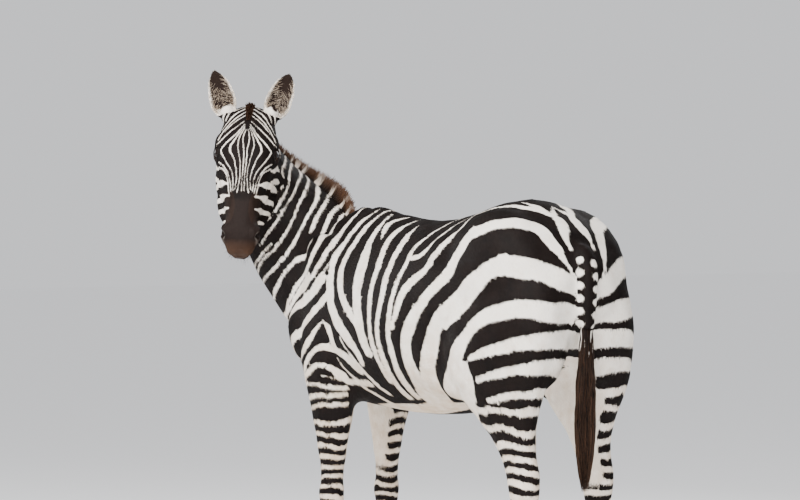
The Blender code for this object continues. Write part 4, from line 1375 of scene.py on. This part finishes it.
def growEarHair():
    # pale hair that crosses the ears' mouths, and a fringe along their rims
    turn = np.random.default_rng(31)
    centre, out = skinPlaces[skinTri].mean(axis=1), skinNormals[skinTri].mean(axis=1)
    onEar = np.char.startswith(owner.astype(str), "ear")[skinTri[:, 0]]
    t, off = earShare(centre)
    opens = out @ headTurn @ earMouth
    root, grow, bend, length, width, marks = [], [], [], [], [], []
    for side in (1, -1):
        mine = onEar & (toHead(centre)[:, 1] * side > 0)
        way = unit(headTurn @ (earLine["way"] * (1, side, 1)))
        face = headTurn @ unit(earMouth + (0, 0.06 * side, 0))
        base = fromHead(earLine["base"] * (1, side, 1))
        for kind, mask, count in (
            ("inner", mine & (opens > 0.10) & (off > 0.026) & (t > 0.0) & (t < 0.80), earSettings["inner"]),
            ("rim", mine & (np.abs(opens) < 0.50) & (t > 0.10) & (off > 0.029), earSettings["rim"]),
        ):
            choice = np.flatnonzero(mask)
            if not len(choice):
                continue
            picked = turn.choice(choice, count)
            place, normal = centre[picked] + turn.normal(0, 0.0008, (count, 3)), out[picked]
            inward = base + way * ((place - base) @ way)[:, None] - place
            inward = unit(inward - face * (inward @ face)[:, None])
            if kind == "inner":
                direction = unit(inward * 0.55 + way * 0.75 + face * 0.55 + turn.normal(0, 0.16, (count, 3)))
                size, thick, tone = turn.uniform(0.009, 0.019, count), 0.0009, (0.92, 0.75, 0.25, 0.1)
                curve = inward * 0.30
            else:
                direction = unit(-inward * 0.35 + way * 0.60 + face * 0.55 + turn.normal(0, 0.12, (count, 3)))
                size, thick, tone = turn.uniform(0.0045, 0.0085, count), 0.0011, (0.95, 0.25, 0.0, 0.0)
                curve = inward * 0.35
            nearTip = np.clip((t[picked] - 0.84) / 0.08, 0, kind == "rim")[:, None]
            tones = np.array(tone) * (1 - nearTip) + np.array([0.0, 0.2, 0, 0.25]) * nearTip
            root.append(place)
            grow.append(direction)
            bend.append(curve)
            length.append(size)
            width.append(thick * turn.uniform(0.7, 1.3, count))
            marks.append(tones)
    joined = [np.concatenate(part) for part in (root, grow, bend, length, width, marks)]
    return shortHairs("ear_hair", *joined, hairMaterial)


def growFaceHair():
    # lashes over each eye and short whiskers round the lips
    turn = np.random.default_rng(32)
    root, grow, bend, length, width = [], [], [], [], []
    f = faceSettings
    for side in (1, -1):
        centre, lids, up, look = eyeFrame(side)
        for s in np.linspace(-0.85, 0.85, earSettings["lashes"]):
            a, b = s * f["lidHalfLength"], f["lidHalfHeight"] * (1 - s * s) ** 0.75 * (1 - 0.16 * s)
            c = math.sqrt((f["eyeRadius"] + f["lidStand"]) ** 2 - a * a - b * b)
            root.append(centre + lids * a + up * (b + 0.0004) + look * c)
            grow.append(unit(look * 0.9 + up * 0.10 + lids * s * 0.35 + turn.normal(0, 0.06, 3)))
            bend.append(up * -0.25)
            length.append(turn.uniform(0.007, 0.011))
            width.append(0.0006)
    for _ in range(earSettings["whiskers"]):
        spot = fromHead([turn.uniform(0.42, 0.485), turn.uniform(-0.045, 0.045), turn.uniform(-0.14, -0.085)])
        away = unit(spot - fromHead([0.43, 0, -0.08]))
        place, normal, _, _ = skinTree.find_nearest(Vector(spot + away * 0.05))
        root.append(np.array(place))
        grow.append(unit(np.array(normal) + turn.normal(0, 0.2, 3)))
        bend.append(np.array([0, 0, -0.3]))
        length.append(turn.uniform(0.008, 0.018))
        width.append(0.0005)
    marks = np.tile([0.0, 0.0, 0.2, 0.0], (len(root), 1))
    parts = [np.array(part) for part in (root, grow, bend, length, width)]
    return shortHairs("lashes", *parts, marks, hairMaterial)


hoofNodes = [f"{leg}_hoof_{side}" for leg in ("fore", "hind") for side in ("left", "right")]


def growCoronets():
    # short hair that hangs from each pastern over the rim of its hoof
    turn = np.random.default_rng(34)
    centre, out = skinPlaces[skinTri].mean(axis=1), skinNormals[skinTri].mean(axis=1)
    root, grow, length = [], [], []
    for name in hoofNodes:
        low, high = (np.array(corner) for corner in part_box(name))
        inner = (low + high) / 2 * (1, 1, 0) + (0, 0, high[2] - 0.006)
        tree = treeOf(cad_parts[name])
        near = (centre[:, :2] > low[:2] - 0.01).all(axis=1) & (centre[:, :2] < high[:2] + 0.01).all(axis=1)
        near &= (np.abs(centre[:, 2] - high[2] - 0.007) < 0.007) & (np.abs(out[:, 2]) < 0.75)
        for spot in turn.choice(np.flatnonzero(near), earSettings["coronet"]):
            away = (centre[spot] - inner) * (1, 1, 0)
            wall = castFrom(tree, inner, inner + away)
            ledge = np.linalg.norm((wall - inner)[:2]) - np.linalg.norm(away)
            root.append(centre[spot])
            grow.append(unit(unit(away) * 0.78 + np.array([0, 0, -0.62]) + turn.normal(0, 0.12, 3)))
            length.append(np.clip(ledge, 0, 0.02) + turn.uniform(0.007, 0.012))
    count = len(root)
    bend, marks = (np.tile(row, (count, 1)) for row in ((0, 0, -0.35), (0, 0, 0.1, 0)))
    parts = (np.array(root), np.array(grow), bend, np.array(length), np.full(count, 0.0022), marks)
    return shortHairs("coronets", *parts, hairMaterial)


hairPieces = {
    "mane": growMane(),
    "forelock": growForelock(),
    "tail": growTail(),
    "ears": growEarHair(),
    "lashes": growFaceHair(),
    "coronets": growCoronets(),
}
report("mane, tail and face hair grown")


# ---- eyeballs
eyeSettings = {
    "iris": (0.016, 0.007, 0.004, 1),
    "irisRim": (0.008, 0.004, 0.003, 1),
    "pupil": (0.0015, 0.0015, 0.002, 1),
    "white": (0.18, 0.12, 0.09, 1),
    "irisSize": 0.66,
    "pupilWide": 0.40,
    "pupilHigh": 0.20,
}


def eyeMaterial():
    s = eyeSettings
    material, tree, shader = newMaterial("eyeGloss", 0.14)
    gaze = node(tree, "ShaderNodeAttribute", attribute_name="gaze")
    parts = node(tree, "ShaderNodeSeparateXYZ")
    tree.links.new(gaze.outputs["Vector"], parts.inputs[0])
    u, v = parts.outputs[0], parts.outputs[1]
    square = mathNode(tree, "ADD", mathNode(tree, "MULTIPLY", u, u), mathNode(tree, "MULTIPLY", v, v))
    reach = mathNode(tree, "SQRT", square)
    wide = mathNode(tree, "DIVIDE", u, s["pupilWide"])
    high = mathNode(tree, "DIVIDE", v, s["pupilHigh"])
    squares = [mathNode(tree, "MULTIPLY", way, way) for way in (wide, high)]
    inner = mathNode(tree, "ADD", *squares)
    pupil = mathNode(tree, "MULTIPLY_ADD", mathNode(tree, "SUBTRACT", 1.0, inner), 4.0, 0.5, clamp=True)
    outside = mathNode(tree, "MULTIPLY", mathNode(tree, "SUBTRACT", reach, s["irisSize"]), 14.0, clamp=True)
    place = node(tree, "ShaderNodeTexCoord").outputs["Object"]
    fibres = noiseNode(tree, place, 900, 2.0, 0.6)
    rim = mathNode(tree, "MULTIPLY", mathNode(tree, "SUBTRACT", reach, s["irisSize"] - 0.16), 6.0, clamp=True)
    colour = mixColour(tree, fibres, s["iris"], s["irisRim"])
    colour = mixColour(tree, rim, colour, s["irisRim"])
    colour = mixColour(tree, pupil, colour, s["pupil"])
    colour = mixColour(tree, outside, colour, s["white"])
    tree.links.new(colour, shader.inputs["Base Color"])
    shader.inputs["Specular IOR Level"].default_value = 0.30
    shader.inputs["Coat Weight"].default_value = 0.15
    shader.inputs["Coat Roughness"].default_value = 0.03
    return material


def makeEye(name, side, material):
    centre, lids, up, look = eyeFrame(side)
    deselect()
    bpy.ops.mesh.primitive_uv_sphere_add(segments=64, ring_count=40, radius=1.0, location=(0, 0, 0))
    eye = bpy.context.object
    eye.name = eye.data.name = name
    co = places(eye)
    layer = eye.data.attributes.new("gaze", "FLOAT_VECTOR", "POINT")
    layer.data.foreach_set("vector", co.astype(np.float32).ravel())
    # the cornea stands a little out of the ball
    bulge = 1 + 0.050 * np.clip((co[:, 2] - 0.72) / 0.28, 0, 1) ** 1.5
    co = co * bulge[:, None] * faceSettings["eyeRadius"]
    turned = centre + co[:, :1] * lids + co[:, 1:2] * up * side + co[:, 2:] * look
    setPlaces(eye, turned)
    turnOut(eye)
    eye.data.shade_smooth()
    eye.data.materials.append(material)
    return eye


eyeGloss = eyeMaterial()
eyePieces = {
    "eye_left": makeEye("eyeball_left", 1, eyeGloss),
    "eye_right": makeEye("eyeball_right", -1, eyeGloss),
}


# ---- hooves
hoofSettings = {
    "voxel": 0.0026,
    "ring": 0.00045,
    "dark": (0.010, 0.0092, 0.0088, 1),
    "light": (0.046, 0.040, 0.034, 1),
    "roughness": 0.42,
}


def scaledPlace(tree, place, scale):
    made = node(tree, "ShaderNodeMapping")
    made.inputs["Scale"].default_value = scale
    tree.links.new(place, made.inputs["Vector"])
    return made.outputs[0]


def hoofMaterial():
    s = hoofSettings
    material, tree, shader = newMaterial("hoofHorn", s["roughness"])
    place = node(tree, "ShaderNodeTexCoord").outputs["Object"]
    tall, flat = (scaledPlace(tree, place, scale) for scale in ((1.0, 1.0, 0.10), (0.08, 0.08, 1.0)))
    streaks = noiseNode(tree, tall, 380, 3.0, 0.6)
    rings = noiseNode(tree, flat, 260, 2.0, 0.5)
    ringWear = mathNode(tree, "MULTIPLY_ADD", rings, 0.6, -0.55)
    worn = mathNode(tree, "MULTIPLY_ADD", streaks, 0.9, ringWear, clamp=True)
    colour = mixColour(tree, worn, s["dark"], s["light"])
    tree.links.new(colour, shader.inputs["Base Color"])
    addBump(tree, shader, rings, 0.35, 0.0008)
    return material


def makeHoof(name, source, material):
    # a finer hoof with growth rings, a rounded coronet edge and a flat sole
    hoof = mergedCopy(name, [source])
    applyModifier(hoof, "REMESH", mode="VOXEL", voxel_size=hoofSettings["voxel"])
    co, edges = places(hoof), edgeEnds(hoof)
    low = co[:, 2].min()
    co = smoothed(co, edges, len(co), 4, weight=0.5)
    setPlaces(hoof, co)
    out = normals(hoof)
    wall = np.clip(1 - np.abs(out[:, 2]) * 1.6, 0, 1) * np.clip((co[:, 2] - 0.006) / 0.01, 0, 1)
    grown = hoofSettings["ring"] * (np.sin(co[:, 2] * 820) + 0.6 * np.sin(co[:, 2] * 1390 + 1.3))
    co = co + out * (grown * wall)[:, None]
    co[:, 2] = np.where(co[:, 2] < 0.0022, low, co[:, 2])
    setPlaces(hoof, co)
    hoof.data.materials.clear()
    hoof.data.materials.append(material)
    hoof.data.shade_smooth()
    return hoof


hoofHorn = hoofMaterial()
hoofPieces = {source: makeHoof("horn_" + source, source, hoofHorn) for source in hoofNodes}
report("eyes and hooves made")


# ---- stage
stageSettings = {
    "floor": 60.0,
    "floorColour": (0.97, 0.97, 0.97),
    "world": (0.96, 0.97, 1.0),
    "worldStrength": 0.88,
}


def makeStage():
    s = stageSettings
    deselect()
    bpy.ops.mesh.primitive_plane_add(size=s["floor"], location=(0, 0, 0))
    floor = bpy.context.object
    floor.name = "floor"
    material, _, shader = newMaterial("paleFloor", 0.9)
    shader.inputs["Base Color"].default_value = (*s["floorColour"], 1)
    floor.data.materials.append(material)
    world = bpy.data.worlds.new("softDaylight")
    bpy.context.scene.world = world
    world.use_nodes = True
    background = world.node_tree.nodes["Background"]
    background.inputs["Color"].default_value = (*s["world"], 1)
    background.inputs["Strength"].default_value = s["worldStrength"]


# each light: place, size, power, colour; all look at the middle of the body
lights = {
    "skyPanel": ((1.5, -3.0, 4.2), 3.4, 450, (1.0, 0.985, 0.96)),
    "frontPanel": ((4.2, -3.2, 2.2), 2.6, 160, (1.0, 0.99, 0.975)),
    "headPanel": ((-3.4, -2.6, 2.6), 2.2, 130, (0.98, 0.99, 1.0)),
    "backPanel": ((-1.2, 3.8, 3.2), 2.6, 110, (0.97, 0.985, 1.0)),
}


def aim(obj, target):
    obj.rotation_euler = (Vector(target) - obj.location).to_track_quat("-Z", "Y").to_euler()


def makeLights():
    for name, (place, size, power, colour) in lights.items():
        lamp = bpy.data.lights.new(name, "AREA")
        lamp.energy, lamp.size, lamp.color = power, size, colour
        obj = bpy.data.objects.new(name, lamp)
        bpy.context.scene.collection.objects.link(obj)
        obj.location = place
        aim(obj, (0.0, 0.0, 0.95))


# turned about the body's middle, from the tail end round the left side; the aim is off the middle to frame it
cameraSettings = {
    "around": 52.0,
    "up": 2.0,
    "away": 14.0,
    "height": 1.0,
    "lens": 204.75,
    "aside": -0.1385,
    "rise": 0.1815,
}


def makeCamera():
    s = cameraSettings
    around, up = math.radians(s["around"]), math.radians(s["up"])
    back = Vector((math.sin(around) * math.cos(up), -math.cos(around) * math.cos(up), math.sin(up)))
    across = Vector((math.cos(around), math.sin(around), 0))
    middlePoint = Vector(bodyShift) + Vector((0, 0, s["height"]))
    camera = bpy.data.cameras.new("camera")
    camera.lens, camera.sensor_width = s["lens"], 36.0
    camera.clip_end = 60
    obj = bpy.data.objects.new("camera", camera)
    bpy.context.scene.collection.objects.link(obj)
    obj.location = middlePoint + back * s["away"]
    aim(obj, middlePoint + across * s["aside"] + back.cross(across) * s["rise"])
    bpy.context.scene.camera = obj


makeStage()
makeLights()
makeCamera()


def rideAll():
    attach(skin, "root")
    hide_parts(*(bodyNodes + ["head", "ear_left", "ear_right"]))
    for piece in coatPieces + [hairPieces[name] for name in ("ears", "lashes", "coronets")]:
        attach(piece, "root")
    for name, nodes in (("mane", ["mane"]), ("forelock", ["mane"]), ("tail", ["tail_tuft"])):
        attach(hairPieces[name], "root")
        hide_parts(*nodes)
    for pieces, slotName in ((eyePieces, "eye"), (hoofPieces, "hoof")):
        for source, piece in pieces.items():
            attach(piece, "root")
            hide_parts(source)


rideAll()
oneOffs = (hairPieces, eyePieces, hoofPieces)
allPieces = [skin, *coatPieces] + [piece for group in oneOffs for piece in group.values()]
total = sum(triangleCount(piece) for piece in allPieces)
report(f"{total} triangles in all")
